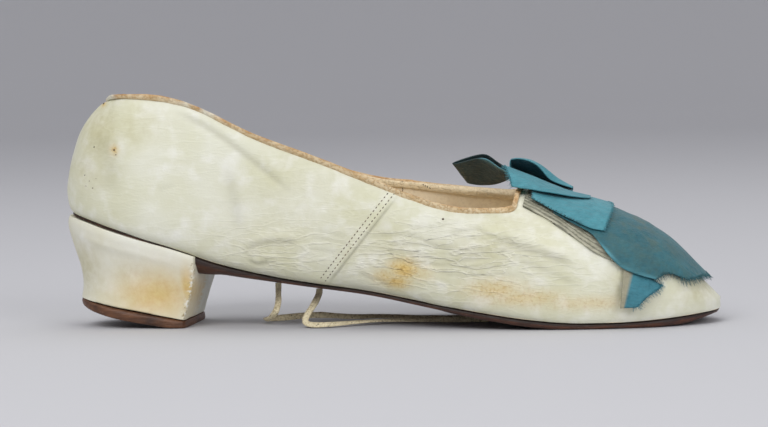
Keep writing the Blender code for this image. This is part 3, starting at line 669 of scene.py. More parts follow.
dark_sole = sole_leather("dark sole leather", "#46291C", "#6E4028")
brown_lift = sole_leather("brown lift leather", "#52331F", "#7C5133")
sole_bm = rounded(copy_of("outsole"), 2, hold=0.75, hold_angle=25.0)
sole = finish_piece(sole_bm, "leather_sole", dark_sole, "outsole")
lift_bm = rounded(copy_of("top_lift"), 2, hold=0.8)
lift = finish_piece(lift_bm, "heel_lift", brown_lift, "top_lift")

# %% [markdown]
# The upper part of the sole's edge is blacked with ink, and its tip is pared thin from below. How far up the
# edge a point lies is asked slice by slice, because the sole rises and drops along the shoe.

# %% Edge and tip of the sole
SOLE_SLICE = 2.0
BLACKED = 0.85
BLACKED_FROM = (0.45, 0.7)
TIP_REACH = (104.0, 120.0)
TIP_PARED = 0.8
TIP_BACK = 0.9
spots, _ = points_of(sole)
slices = np.round(spots[:, 0] / SOLE_SLICE)
up_share = np.zeros(len(spots))
for this in np.unique(slices):
    here = slices == this
    low, high = spots[here, 2].min(), spots[here, 2].max()
    up_share[here] = (spots[here, 2] - low) / (high - low)
paint_points(sole, "blacked", BLACKED * soft_step(*BLACKED_FROM, up_share))
tip = soft_step(*TIP_REACH, spots[:, 0])
spots[:, 0] -= TIP_BACK * tip * (1.0 - up_share)
spots[:, 2] += TIP_PARED * tip * (1.0 - up_share)
put_points(sole, spots)
print("slices of the sole", len(np.unique(slices)))

# %% [markdown]
# ## The heel
# The heel is a block of wood covered in the kid of the upper. The cover is turned over the edges of the
# breast, and its cut edge there is rough. A wide orange stain has soaked in on the near side.

# %% Covered heel
HEEL_STAINS = (
    ("stain", -1, -85.5, 12.5, 12.5, 8.5, 0.88),
    ("stain", -1, -86.0, 11.5, 6.0, 6.0, 0.85),
    ("stain", -1, -75.0, 15.5, 3.0, 6.5, 0.95),
    ("stain", 1, -92.0, 12.0, 9.0, 6.0, 0.4),
    ("soil", -1, -110.0, 22.0, 6.0, 10.0, 0.6),
    ("soil", 1, -108.0, 20.0, 9.0, 10.0, 0.6),
    ("soil", -1, -96.0, 22.0, 7.0, 5.0, 0.35),
)
heel_kid = kid_leather("heel cover kid", "#E4E3D5", "#D8D4B8")
heel_bm = rounded(copy_of("heel"), 3, hold=0.8, hold_angle=35.0)
heel = finish_piece(heel_bm, "covered_heel", heel_kid, "heel")
block, block_out = points_of(heel)
for kind in ("soil", "stain"):
    paint_points(heel, kind, spotted(block, kind, HEEL_STAINS))
HEEL_CREASES = (
    (((-118, 36), (-112, 33.8), (-100, 30), (-88, 26.4), (-76, 23)), 1.2, 0.18),
    (((-76, 24), (-75, 17), (-76, 10), (-77, 5)), 1.0, 0.15),
    (((-110, 30), (-100, 27), (-92, 25)), 1.6, -0.12),
)
move, crease_shade = crease_skin(block, HEEL_CREASES)
HEEL_UNEVEN = 0.14
uneven = unevenness(block, (9.0, 1.0), (3.5, 0.5))
# the breast stands a little further forward than the solid's, more so on the far side
BREAST_FORWARD = (2.4, 4.2)
BREAST_SIDES = (-22.0, 22.0)
BREAST_REACH = (-102.0, -78.0)


def breast_forward(spots):
    """Spots of the heel, with those towards its breast moved forward."""
    moved = spots.copy()
    forward = np.interp(spots[:, 1], BREAST_SIDES, BREAST_FORWARD)
    moved[:, 0] += forward * soft_step(*BREAST_REACH, spots[:, 0])
    return moved


put_points(heel, breast_forward(block + block_out * (move + HEEL_UNEVEN * uneven)[:, None]))
put_points(lift, breast_forward(points_of(lift)[0]))
# painted shade in the troughs of the heel's creases
paint_points(heel, "crease", 0.5 * crease_shade)
# the kid's cut edge is ragged at the corner of the breast, the furthest out of each level
RAGGED_LEVEL = 1.5
RAGGED_WIDE = 0.9
RAGGED_FROM = 4.0
RAGGED_TO = 24.0
corner = block[:, 0] + np.abs(block[:, 1])
level = np.round(block[:, 2] / RAGGED_LEVEL)
furthest = np.zeros(len(block))
for height in np.unique(level):
    furthest[level == height] = corner[level == height].max()
ragged = bell((furthest - corner) / RAGGED_WIDE)
paint_points(heel, "edge", ragged * (block[:, 2] > RAGGED_FROM) * (block[:, 2] < RAGGED_TO))

# %% [markdown]
# ## Finding the surface
# Stitches, edges and pleats lie on the finished surfaces. A tree of a piece's faces answers a ray: from the
# side for the quarters, or straight in towards the axis of the shoe for the vamp.

# %% Rays
def tree_of(obj):
    return BVHTree.FromObject(obj, bpy.context.evaluated_depsgraph_get())


kid_tree = tree_of(upper)
FAR_OFF = 0.3
VAMP_AXIS_Z = 12.0


def from_side(tree, x, z, side, off=FAR_OFF):
    """The point and the normal of a surface at a place on the side of the shoe, in millimetres."""
    start = Vector((x * MM, side * off, z * MM))
    spot, normal, _, _ = tree.ray_cast(start, Vector((0, -side, 0)))
    return spot, normal


def round_vamp(x, degrees, lift):
    """A point over the vamp, at an angle from straight up: minus is the near side."""
    out = Vector((0, math.sin(math.radians(degrees)), math.cos(math.radians(degrees))))
    spot, normal, _, _ = kid_tree.ray_cast(Vector((x * MM, 0, VAMP_AXIS_Z * MM)) + out * FAR_OFF, -out)
    return spot + normal * lift * MM


# %% [markdown]
# ## Stitches of the side seam
# Two rows of dark silk stitches hold the quarter on the vamp, about 1.7 and 3.6 mm behind its cut edge,
# with one and a half millimetres from one stitch to the next. One small ball, drawn out along the row, is
# enough for a stitch, so each has few faces. The thread is silk that has faded from brown in places.

# %% Seam stitches
SEAM_TOP = Vector((6.0, 48.2))
SEAM_FOOT = Vector((-22.2, 13.9))
SEAM_ROWS = (1.7, 3.6)
SEAM_INSIDE = 1.0
STITCH_STEP = 1.55
STITCH_LONG = 1.0
STITCH_THICK = 0.4


def sew(bm, tree, spots, side, long, thick, off=FAR_OFF):
    """A row of stitches on a surface, each laid towards the next spot of the row."""
    hits = [from_side(tree, x, z, side, off) for x, z in spots]
    for (spot, normal), (ahead, _) in zip(hits, hits[1:]):
        if spot is None or ahead is None:
            continue
        run = (ahead - spot).normalized()
        across = normal.cross(run)
        turn = Matrix((run, across, normal)).transposed().to_4x4()
        size = Matrix.Diagonal((long * MM / 2, thick * MM / 2, thick * MM / 2.4, 1.0))
        lie = Matrix.Translation(spot) @ turn @ size
        bmesh.ops.create_icosphere(bm, subdivisions=1, radius=1.0, matrix=lie)


def row_beside(top, foot, back, step):
    """The places of a row of stitches behind a seam, which begins and ends a little inside it."""
    run = (foot - top).normalized()
    start = top + Vector((-abs(run.y), abs(run.x))) * back + run * SEAM_INSIDE
    count = int(((foot - top).length - 2 * SEAM_INSIDE) / step)
    return [tuple(start + run * step * k) for k in range(count + 1)]


def thread(name, roughness, ground, faded, size):
    look, tree, shader, place = start_material(name, roughness)
    lay_colours(tree, shader, ground, [(faded, blotches(tree, place, size, 0.4, 0.6))])
    return look


dark_silk = thread("dark brown silk thread", 0.6, "#4A3C2E", "#6E5A44", 2.5)
stitch_bm = bmesh.new()
for side in (-1, 1):
    for back in SEAM_ROWS:
        row = row_beside(SEAM_TOP, SEAM_FOOT, back, STITCH_STEP)
        sew(stitch_bm, kid_tree, row, side, STITCH_LONG, STITCH_THICK)
finish_piece(stitch_bm, "seam_stitches", dark_silk)

# %% [markdown]
# Small dark marks are on the near side: a pinhole under the binding, and specks near the back. A
# stitch that is as long as it is thick makes such a mark.

# %% Pinhole and specks
MARKS = (
    (21.5, 39.5, 0.9),
    (-103.5, 81.9, 0.9),
    (-97.6, 65.3, 0.8),
    (-105.7, 66.4, 0.6),
    (-96.9, 63.6, 0.5),
    (-109.5, 56.2, 0.5),
    (-107.6, 54.1, 0.4),
    (-106.2, 51.6, 0.5),
    (-109.0, 52.3, 0.4),
    (-104.8, 55.0, 0.35),
)
mark_bm = bmesh.new()
for x, z, size in MARKS:
    sew(mark_bm, kid_tree, [(x, z), (x + 1.0, z)], -1, size, size)
finish_piece(mark_bm, "pinholes", dark_silk)

# %% [markdown]
# ## The binding
# A narrow silk braid is folded over the rim of the collar and the throat, and sewn through. It is orange
# tan where it is worn along the fold, and its weave shows as small knots. The CAD solid already has the
# folded form, so a rounded copy is only pressed on to the kid and takes the ripple of the sewing.

# %% Braid binding
def braid(name):
    look, tree, shader, place = start_material(name, 0.7)
    wear_and_highlight = blotches(tree, place, 5.0, 0.5, 0.7)
    knots = blotches(tree, place, 0.9, 0.5, 0.58)
    # the braid's threads are 0.3 mm apart, finer than the picture; slanting bands of 5.8 mm stand for its
    # pattern, and knots of 0.9 mm for its weave
    threads = add(
        tree,
        "TexWave",
        {"bands_direction": "DIAGONAL"},
        {"Scale": SLANT_BAND * per_mm(5.804), "Distortion": 2.0, "Detail": 1.0, "Detail Scale": 2.0},
        {"Vector": place},
    ).outputs["Fac"]
    layers = [
        ("#C79A62", "fold", 0.55),
        ("#E2D3B2", threads, 0.4),
        ("#A66C34", wear_and_highlight, "fold", 0.8),
        ("#BC9258", knots, 0.42),
        ("#6B4523", blotches(tree, place, 1.1, 0.68, 0.76), 0.5),
        # the inner face is paler, and is also painted lighter to lift the shade inside the collar
        ("#E2D0AC", "inside", 0.85),
        ("#AE7A3C", "brown"),
        ("#E4E0CC", "bare"),
    ]
    lay_colours(tree, shader, "#CDB48A", layers)
    raise_surface(tree, shader, [(threads, 0.16), (knots, 0.2)])
    return look


braid_bm = rounded(copy_of("topline_binding"), 2)
binding = finish_piece(braid_bm, "silk_binding", braid("tan silk braid"), "topline_binding")
braid_spots, braid_out = points_of(binding)
# how much of its distance from the kid the braid loses, and its lower edge with the stitches more so
PRESS = 0.65
EDGE_PRESS = 1.1
EDGE_DOWN = 0.6
# behind this place the braid is drawn in and down to the kid
BACK_FROM = -100.0
BACK_DRAWN_IN = 0.76
BACK_DRAWN_DOWN = 0.5
RIPPLE = 0.09
ripple = unevenness(braid_spots, (1.8, 1.0), (5.0, 1.0))
pressed = np.zeros_like(braid_spots)
for k, spot in enumerate(braid_spots):
    on_kid, normal, _, _ = kid_tree.find_nearest(Vector(spot) * MM)
    away = (Vector(spot) * MM - on_kid).dot(normal) / MM
    edge = braid_out[k, 2] < -0.3 and away > 0.0
    press = EDGE_PRESS if edge else PRESS
    pressed[k] = np.array((normal.x, normal.y, 0.0)) * -press * min(max(away, 0.0), 1.0)
    pressed[k, 2] -= EDGE_DOWN * edge
pressed[:, 0] += (BACK_DRAWN_IN - 1.0) * np.minimum(braid_spots[:, 0] - BACK_FROM, 0.0)
pressed[:, 2] -= BACK_DRAWN_DOWN * soft_step(BACK_FROM, BACK_FROM - 4.0, braid_spots[:, 0])
put_points(binding, braid_spots + pressed + braid_out * (RIPPLE * ripple)[:, None])
print("braid pressed in by up to mm", round(float(np.abs(pressed).max()), 2))

# %% [markdown]
# The braid is not one colour. It is tan along the fold, and paler inside, where it is also painted lighter
# to lift the shade inside the collar. It is brown in patches towards the back, and rubbed bare at one place
# and round the back, where the pale ground shows.

# %% Colours of the braid
BROWN = 0.7
RUBBED_X = -67.0
RUBBED_LONG = 7.0
paint_points(binding, "fold", soft_step(0.35, 0.9, braid_out[:, 2]))
# the inner face, painted paler, partly as painted light in the shade inside the collar
inside = (braid_out[:, 1] * braid_spots[:, 1] < 0) & (np.abs(braid_out[:, 1]) > 0.4)
paint_points(binding, "inside", inside.astype(float))
patchy = unevenness(braid_spots, (3.2, 1.0))
back_half = soft_step(-20, -60, braid_spots[:, 0])
brown = BROWN * back_half * soft_step(-0.1, 0.25, patchy) * soft_step(-0.4, 0.4, braid_out[:, 2])
paint_points(binding, "brown", brown)
rubbed = bell((braid_spots[:, 0] - RUBBED_X) / RUBBED_LONG)
bare = np.maximum(rubbed * soft_step(0.0, -0.25, patchy), soft_step(-97, -101, braid_spots[:, 0]))
paint_points(binding, "bare", bare)
print("share of the braid that is brown, and bare", round(brown.mean(), 2), round(bare.mean(), 2))

# %% [markdown]
# The binding is sewn on near its lower edge, with a stitch every two millimetres. The lowest points of the
# braid on each side give that edge. On the far side, inside, the lining has a short seam with its thread
# ends, which can be seen through the throat. The thread of the binding is matched to the braid.

# %% Stitches of the binding and the lining
BINDING_STEP = 2.1
BINDING_IN = 0.45
BINDING_X = (-40.0, 47.0)
BINDING_SLICE = 1.2
BINDING_STITCH = {"long": 0.9, "thick": 0.34}
tan_thread = thread("tan sewing thread", 0.7, "#9C7443", "#7A5530", 3.0)
braid_tree = tree_of(binding)
binding_bm = bmesh.new()
for side in (-1, 1):
    leg = braid_spots[(braid_out[:, 1] * side > 0.5) & (braid_spots[:, 1] * side > 0)]
    row = []
    for x in np.arange(*BINDING_X, BINDING_STEP):
        here = leg[np.abs(leg[:, 0] - x) < BINDING_SLICE]
        if len(here):
            row.append((x, here[:, 2].min() + BINDING_IN))
    sew(binding_bm, braid_tree, row, side, **BINDING_STITCH)
finish_piece(binding_bm, "binding_stitches", tan_thread)

LINING_SEAM = ((2.5, 50.4), (2.55, 49.3), (2.5, 48.2), (2.45, 47.1), (2.4, 46.0))
LINING_STITCH = {"long": 1.3, "thick": 0.34}
THREAD_ENDS = ((10.4, 49.3), (11.2, 48.9), (12.0, 48.5), (12.9, 48.0))
THREAD_END = {"long": 0.9, "thick": 0.4}
lining_seam_bm = bmesh.new()
for tree in (braid_tree, tree_of(lining)):
    # a ray from the middle of the shoe meets the inside of the far wall
    sew(lining_seam_bm, tree, LINING_SEAM, -1, **LINING_STITCH, off=0.0)
    for x, z in THREAD_ENDS:
        sew(lining_seam_bm, tree, [(x, z), (x + 0.3, z - 0.9)], -1, **THREAD_END, off=0.0)
finish_piece(lining_seam_bm, "lining_stitches", dark_silk)

# %% [markdown]
# ## The ribbon
# The bow is silk ribbon of a dull blue, in a different tone on each piece. It has a fine ribbed weave along
# it and a soft nap. One function makes each tone of it, and the darkest one is partly painted shade.
# Painted highlights on a lit edge and a fold, and painted shade inside the top loop, are painted on the
# mesh.

# %% Silk ribbon
# the last colour is that of the painted highlights
def silk(name, ground, pale, deep, wear_and_highlight):
    look, tree, shader, place = start_material(name, 0.62)
    faded = blotches(tree, place, 9.0, 0.42, 0.68)
    cloud = blotches(tree, place, 2.4, 0.4, 0.75)
    # the ribs are 0.25 mm apart; streaks of 0.6 mm stand for them
    ribs = blotches(tree, place, 0.6, 0.25, 0.75, stretch=(0.12, 1.0, 1.0))
    layers = [
        (pale, faded, 0.7),
        (deep, cloud, 0.45),
        (pale, ribs, 0.5),
        # painted highlights, where they are painted on the mesh
        (wear_and_highlight, "faded"),
        # painted shade inside the top loop
        ("#42737E", "hidden"),
        ("#9A967F", "underside"),
        ("#5A6049", "ochre"),
    ]
    lay_colours(tree, shader, ground, layers)
    raise_surface(tree, shader, [(ribs, 0.16), (blotches(tree, place, 2.5, 0.3, 0.7), 0.3)])
    shader.inputs["Sheen Weight"].default_value = 0.12
    shader.inputs["Sheen Roughness"].default_value = 0.4
    return look


bright_silk = silk("blue silk ribbon", "#38808C", "#4A95A1", "#265963", "#63AAB6")
dull_silk = silk("dull blue silk ribbon", "#1E5761", "#2E6C76", "#485E4E", "#5497A4")
clear_silk = silk("clear blue silk ribbon", "#266A78", "#3F8796", "#225561", "#5497A4")
# a darker silk: partly the ribbon's darker wrong side, partly painted shade for the back loop's underside
dark_silk_and_shade = silk("dark teal silk ribbon", "#1C2E2E", "#2C4648", "#142226", "#5E97A4")
# each face of the CAD ribbon goes in by this, so that the silk looks as thin as it is
RIBBON_THINNED = 0.14


def ribbon_piece(node, name, look, wave):
    """A CAD ribbon, rounded and a little uneven, as both of its faces move together."""
    obj = finish_piece(rounded(copy_of(node), 2, hold=0.8, hold_angle=50.0), name, look, node)
    spots, faces_out = points_of(obj)
    out = (spots - np.array((0.0, 0.0, VAMP_AXIS_Z))) * np.array((0.0, 1.0, 1.0))
    out /= np.linalg.norm(out, axis=1)[:, None]
    uneven = unevenness(spots, (7.0, 1.0), (3.0, 0.5))
    put_points(obj, spots + out * (wave * uneven)[:, None] - faces_out * RIBBON_THINNED)
    return obj


# %% [markdown]
# Cut ends of ribbon fray: threads of the weave stand out of the edge. A thin cone of three sides is one
# thread. The rim of the CAD ribbon gives the places, and each thread leaves the rim at right angles, with a
# little disorder from a seeded generator, so that every run gives the same fringe.

# %% Frayed edges
THREAD_THICK = 0.16
THREAD_SHORTEST = 0.6
THREAD_ROOT = 0.6
THREAD_SPLAY = 0.45
THREAD_DROOP = (-0.25, 0.1)
RIM_ANGLE = 1.0
RIM_SHORTEST = 0.9


def fray(node, name, look, long, per_edge_mm, seed, where):
    """Loose threads, up to so long and so many on a millimetre, on the rim edges that where picks."""
    draws = random.Random(seed)
    ribbon_bm = copy_of(node)
    bm = bmesh.new()
    for edge in ribbon_bm.edges:
        middle = (edge.verts[0].co + edge.verts[1].co) / 2
        on_rim = edge.calc_length() >= RIM_SHORTEST * MM and edge.calc_face_angle() >= RIM_ANGLE
        if not on_rim or not where(middle / MM):
            continue
        rim = min(edge.link_faces, key=lambda f: f.calc_area())
        run = edge.verts[1].co - edge.verts[0].co
        for _ in range(round(edge.calc_length() / MM * per_edge_mm)):
            start = edge.verts[0].co + run * draws.random() - rim.normal * THREAD_ROOT * MM
            way = rim.normal + run.normalized() * draws.uniform(-THREAD_SPLAY, THREAD_SPLAY)
            way += Vector((0, 0, draws.uniform(*THREAD_DROOP)))
            length = (THREAD_SHORTEST + long * draws.random() ** 2) * MM
            lie = way.normalized().to_track_quat("Z", "Y").to_matrix().to_4x4()
            bmesh.ops.create_cone(
                bm,
                cap_ends=True,
                segments=3,
                radius1=THREAD_THICK * MM / 2,
                radius2=THREAD_THICK * MM / 5,
                depth=length,
                matrix=Matrix.Translation(start + way.normalized() * length / 2) @ lie,
            )
    ribbon_bm.free()
    return finish_piece(bm, name, look)


# %% [markdown]
# ## The pleated base of the bow
# Under the ribbon lies a ruche: a strip of cream silk in narrow pleats that run along the vamp. Only its
# edge shows on each side, as fine lines one above another. A grid is laid over the vamp by rays, and its
# lift goes up and drops again like the teeth of a saw, one tooth for each pleat.

# %% Ruche
# x, and the angles of the near and the far edge there
RUCHE_EDGE = (
    (49.4, -37.8, 37.8),
    (58.0, -44.4, 44.5),
    (66.0, -53.5, 50.9),
    (74.0, -63.1, 53.9),
    (81.5, -68.6, 54.0),
)
RUCHE_START_MIDDLE = 50.9
RUCHE_COLUMNS = 60
RUCHE_ROWS = 300
PLEAT_DEGREES = 3.0
PLEAT_LIFT = 0.6
RUCHE_LIFT = 0.3
RUCHE_THICK = 0.1

ruche_bm = bmesh.new()
pleat_shade_layer = ruche_bm.verts.layers.float.new("pleat")
ruche_grid = bmesh.ops.create_grid(ruche_bm, x_segments=RUCHE_COLUMNS, y_segments=RUCHE_ROWS, size=1.0)
places, nears, fars = zip(*RUCHE_EDGE)
for vert in ruche_grid["verts"]:
    start = RUCHE_START_MIDDLE + (places[0] - RUCHE_START_MIDDLE) * vert.co.y**2
    x = np.interp(vert.co.x, (-1, 1), (start, places[-1]))
    near_edge = np.interp(x, places, nears)
    far_edge = np.interp(x, places, fars)
    degrees = np.interp(vert.co.y, (-1, 1), (near_edge, far_edge))
    wander = 0.5 * noise.noise(Vector((x / 6.0, degrees / 12.0, 0.0)))
    from_edge = min(degrees - near_edge, far_edge - degrees)
    tooth = (from_edge / PLEAT_DEGREES + wander) % 1.0
    vert.co = round_vamp(x, degrees, RUCHE_LIFT + PLEAT_LIFT * (1.0 - tooth))
    # painted shade in a line at each pleat
    vert[pleat_shade_layer] = float(soft_step(0.6, 1.0, tooth) + soft_step(0.12, 0.0, tooth))
bmesh.ops.solidify(ruche_bm, geom=ruche_bm.faces[:], thickness=RUCHE_THICK * MM)
print("points of the ruche", len(ruche_bm.verts))

# %% [markdown]
# The ruche is cream silk, thin and matt, painted grey for the shade that it lies in under the bow. The lines
# at the pleats are painted shade, and pale streaks along the shoe stand for its ribs.

# %% Cream silk
def cream_silk(name):
    look, tree, shader, place = start_material(name, 0.7)
    layers = [
        ("#8B8972", blotches(tree, place, 5.0, 0.4, 0.65), 0.6),
        ("#DDD9C4", blotches(tree, place, 1.2, 0.4, 0.7, stretch=(0.2, 1, 1)), 0.5),
        # painted shade at the pleats
        ("#4E4F42", "pleat", 0.75),
    ]
    # a grey ground, which is painted shade on the cream silk
    lay_colours(tree, shader, "#B0AE99", layers)
    raise_surface(tree, shader, [(blotches(tree, place, 0.5, 0.3, 0.7), 0.08)])
    return look


ruche = finish_piece(ruche_bm, "pleated_ruche", cream_silk("cream silk ruche"), "bow_ruche")

# %% [markdown]
# ## The tails of the bow
# The long tail lies over the vamp to the toe, where it is cut in a notch and frayed. Its near edge rolls up
# and catches the light. A corner of it hangs down on the near side. The short tail lies on top of it.

# %% Tails
long_tail = ribbon_piece("bow_long_tail", "bow_long_tail_silk", dull_silk, 0.3)
corner_tail = ribbon_piece("bow_corner_tail", "bow_corner_tail_silk", clear_silk, 0.12)
short_tail = ribbon_piece("bow_short_tail", "bow_short_tail_silk", bright_silk, 0.24)
ROLLED_EDGE = ((66.7, -26.0, 37.0), (77.2, -31.1, 29.5), (84, -31, 22), (94.3, -29.9, 17.4))
ROLLED_WIDE = 0.8
spots, _ = points_of(long_tail)
from_roll, _ = beside(spots, smooth_line(ROLLED_EDGE))
# a painted highlight along the near edge, where it rolls up
paint_points(long_tail, "faded", bell(from_roll / ROLLED_WIDE))
# patches of ochre lie about this line
OCHRE_LINE = ((72, 0, 43), (82, -8, 38), (90, -12, 32))
OCHRE_WIDE = 14.0
OCHRE = 0.5
from_ochre, _ = beside(spots, smooth_line(OCHRE_LINE))
patches = soft_step(-0.1, 0.5, unevenness(spots, (6.0, 1.0), (2.2, 0.5)))
paint_points(long_tail, "ochre", OCHRE * bell(from_ochre / OCHRE_WIDE) * patches)
# behind this line, x and z, the corner is painted grey-tan
GREY_STRIP_TOP = (87.8, 19.7)
GREY_STRIP_FOOT = (84.9, 7.9)
spots, _ = points_of(corner_tail)
grey_strip_x = np.interp(spots[:, 2], (GREY_STRIP_FOOT[1], GREY_STRIP_TOP[1]), (GREY_STRIP_FOOT[0], GREY_STRIP_TOP[0]))
paint_points(corner_tail, "underside", soft_step(0.3, -0.3, spots[:, 0] - grey_strip_x))

# %% [markdown]
# The ends of the two tails at the toe are frayed, and have drawn out of shape. Each row of the table slides
# what is near one place along the kid: x and z of the place, how far the slide reaches each way, and the
# slide itself in x and z. Every point keeps its distance from the kid, so the silk still lies on it.

# %% Ends at the toe
LONG_CUT_X = 94.6
CORNER_CUT_X = 88.5
CORNER_CUT_Z = 18.0


def at_long_cut(spot):
    return spot.x > LONG_CUT_X


def at_corner_cut(spot):
    return spot.x > CORNER_CUT_X and spot.z < CORNER_CUT_Z


long_fringe = fray("bow_long_tail", "long_tail_fringe", dull_silk, 2.6, 5.0, 11, at_long_cut)
corner_fringe = fray("bow_corner_tail", "corner_tail_fringe", clear_silk, 1.8, 5.0, 12, at_corner_cut)
LONG_END = (
    (96.0, 17.5, 4.0, 4.0, 2.8, 0.0),
    (107.8, 16.5, 4.5, 4.0, 0.0, -2.2),
)
CORNER_END = ((97.4, 16.0, 4.0, 4.0, 1.3, -2.2),)
LEAST_SLIDE = 0.02


def slide_on_kid(obj, rows):
    """Slide the near side of a piece along the kid and print the longest slide."""
    spots, _ = points_of(obj)
    slide = np.zeros_like(spots)
    for x, z, reach_x, reach_z, move_x, move_z in rows:
        above = np.maximum(spots[:, 2] - z, 0.0)
        share = bell((spots[:, 0] - x) / reach_x, above / reach_z)
        slide += (share * (spots[:, 1] < 0.0))[:, None] * np.array((move_x, 0.0, move_z))
    for k in np.flatnonzero(np.abs(slide).max(axis=1) > LEAST_SLIDE):
        spot = Vector(spots[k]) * MM
        foot, outward, _, _ = kid_tree.find_nearest(spot)
        height = (spot - foot).dot(outward)
        foot, outward, _, _ = kid_tree.find_nearest(spot + Vector(slide[k]) * MM)
        spots[k] = (foot + outward * height) / MM
    put_points(obj, spots)
    print(f"{obj.name}: drawn out by up to {np.abs(slide).max():.1f} mm")


for piece in (long_tail, long_fringe):
    slide_on_kid(piece, LONG_END)
for piece in (corner_tail, corner_fringe):
    slide_on_kid(piece, CORNER_END)

# %% [markdown]
# The short tail has a few dark threads along its near side, and a short fringe at its cut end.

# %% Threads of the short tail
SHORT_SIDE_X = 70.0
SHORT_SIDE_Y = -14.0
SHORT_CUT_X = 78.0


def on_short_side(spot):
    return spot.y < SHORT_SIDE_Y and spot.x < SHORT_SIDE_X


def at_short_cut(spot):
    return spot.x > SHORT_CUT_X


loose_threads = fray("bow_short_tail", "short_tail_threads", dark_silk_and_shade, 1.2, 1.6, 15, on_short_side)
short_fringe = fray("bow_short_tail", "short_tail_fringe", bright_silk, 0.9, 4.0, 13, at_short_cut)

# %% [markdown]
# ## The flap and the loops
# A ribbon bow has its loops. The flap faces the near side, frayed at its back end. The top loop lies above
# it with its dark opening to the side, and the back loop stands over the throat and shows its dark inner
# side, with one light fold. The dark inside of the top loop is painted shade. The back loop is in a darker
# silk that stands partly for the ribbon's darker wrong side and partly for painted shade, with a painted
# highlight on its fold and paler silk on its outer face.

# %% Flap and loops
flap = ribbon_piece("bow_flap", "bow_flap_silk", bright_silk, 0.12)
top_loop = ribbon_piece("bow_top_loop", "bow_top_loop_silk", bright_silk, 0.1)
# the back loop is made darker, partly as painted shade on its underside
back_loop = ribbon_piece("bow_back_loop", "bow_back_loop_silk", dark_silk_and_shade, 0.1)
# the flap's back end is cut on a slant
FLAP_CUT_X = 42.7
FLAP_CUT_Y = -4.5
FLAP_SLANT = 0.256


def at_flap_cut(spot):
    return spot.x + FLAP_SLANT * (spot.y - FLAP_CUT_Y) < FLAP_CUT_X


flap_fringe = fray("bow_flap", "flap_fringe", bright_silk, 1.5, 4.0, 14, at_flap_cut)

# %% [markdown]
# Which points of the top loop are inside it? Its lower sheet, its mouth and its crest are known along x, so
# the upper sheet's height is known too. A face that looks towards the middle of the two is an inner one. At
# its far end the loop is pressed almost shut.

# %% Inside of the loops
LOOP_X = (44.2, 47.0, 52.0, 55.0, 58.0, 61.0, 67.0)
LOOP_LOW_Z = (55.5, 54.4, 52.5, 51.4, 50.2, 49.1, 47.4)
LOOP_MOUTH_Z = (59.4, 59.6, 58.4, 56.4, 52.2, 50.5, 48.5)
LOOP_CREST_Z = (59.5, 59.8, 59.0, 57.6, 55.4, 52.7, 48.9)
LOOP_NEAR_Y = -3.3
LOOP_CREST_Y = 0.1
LOOP_FAR_Y = 11.0
LOOP_FAR_GAP = 1.0
LOOP_LEFT_OPEN = 0.15
spots, out = points_of(top_loop)
low_z, mouth_z, crest_z = (
    np.interp(spots[:, 0], LOOP_X, row) for row in (LOOP_LOW_Z, LOOP_MOUTH_Z, LOOP_CREST_Z)
)
rise = np.clip((spots[:, 1] - LOOP_NEAR_Y) / (LOOP_CREST_Y - LOOP_NEAR_Y), 0, 1)
drop = np.clip((spots[:, 1] - LOOP_CREST_Y) / (LOOP_FAR_Y - LOOP_CREST_Y), 0, 1)
upper_z = mouth_z + (crest_z - mouth_z) * rise + (low_z + LOOP_FAR_GAP - crest_z) * drop
above_middle = spots[:, 2] - (low_z + upper_z) / 2
facing_in = above_middle * out[:, 2] < 0
shut = (LOOP_FAR_GAP - LOOP_LEFT_OPEN) * soft_step(0.4, 0.9, drop) * (above_middle > 0)
put_points(top_loop, spots - shut[:, None] * np.array((0.0, 0.0, 1.0)))
# painted shade on the inner faces of the top loop
paint_points(top_loop, "hidden", (facing_in & (np.abs(out[:, 2]) > 0.3)).astype(float))
LIGHT_FOLD = ((33.8, 3.5, 60.0), (39.6, 2.6, 56.6), (44.0, 2.0, 54.2))
FOLD_WIDE = 1.2
spots, out = points_of(back_loop)
from_fold, _ = beside(spots, smooth_line(LIGHT_FOLD))
fold = bell(from_fold / FOLD_WIDE)
# a painted highlight along the light fold, and paler silk on the loop's outer face
paint_points(back_loop, "faded", np.maximum(0.7 * fold, 0.55 * (out[:, 1] > 0.3)))
print("share of the top loop that is inside", round(float(facing_in.mean()), 2))

# %% [markdown]

# %% [markdown]
# ## The tape ends
# Two ends of a narrow cotton tape drop from the waist of the sole and lie on the floor. A tape is flat and
# twists as it goes, so its section is a flat oval that turns along the route. The ovals are made one by one
# and bridged. The routes are those of the CAD cords, in millimetres.

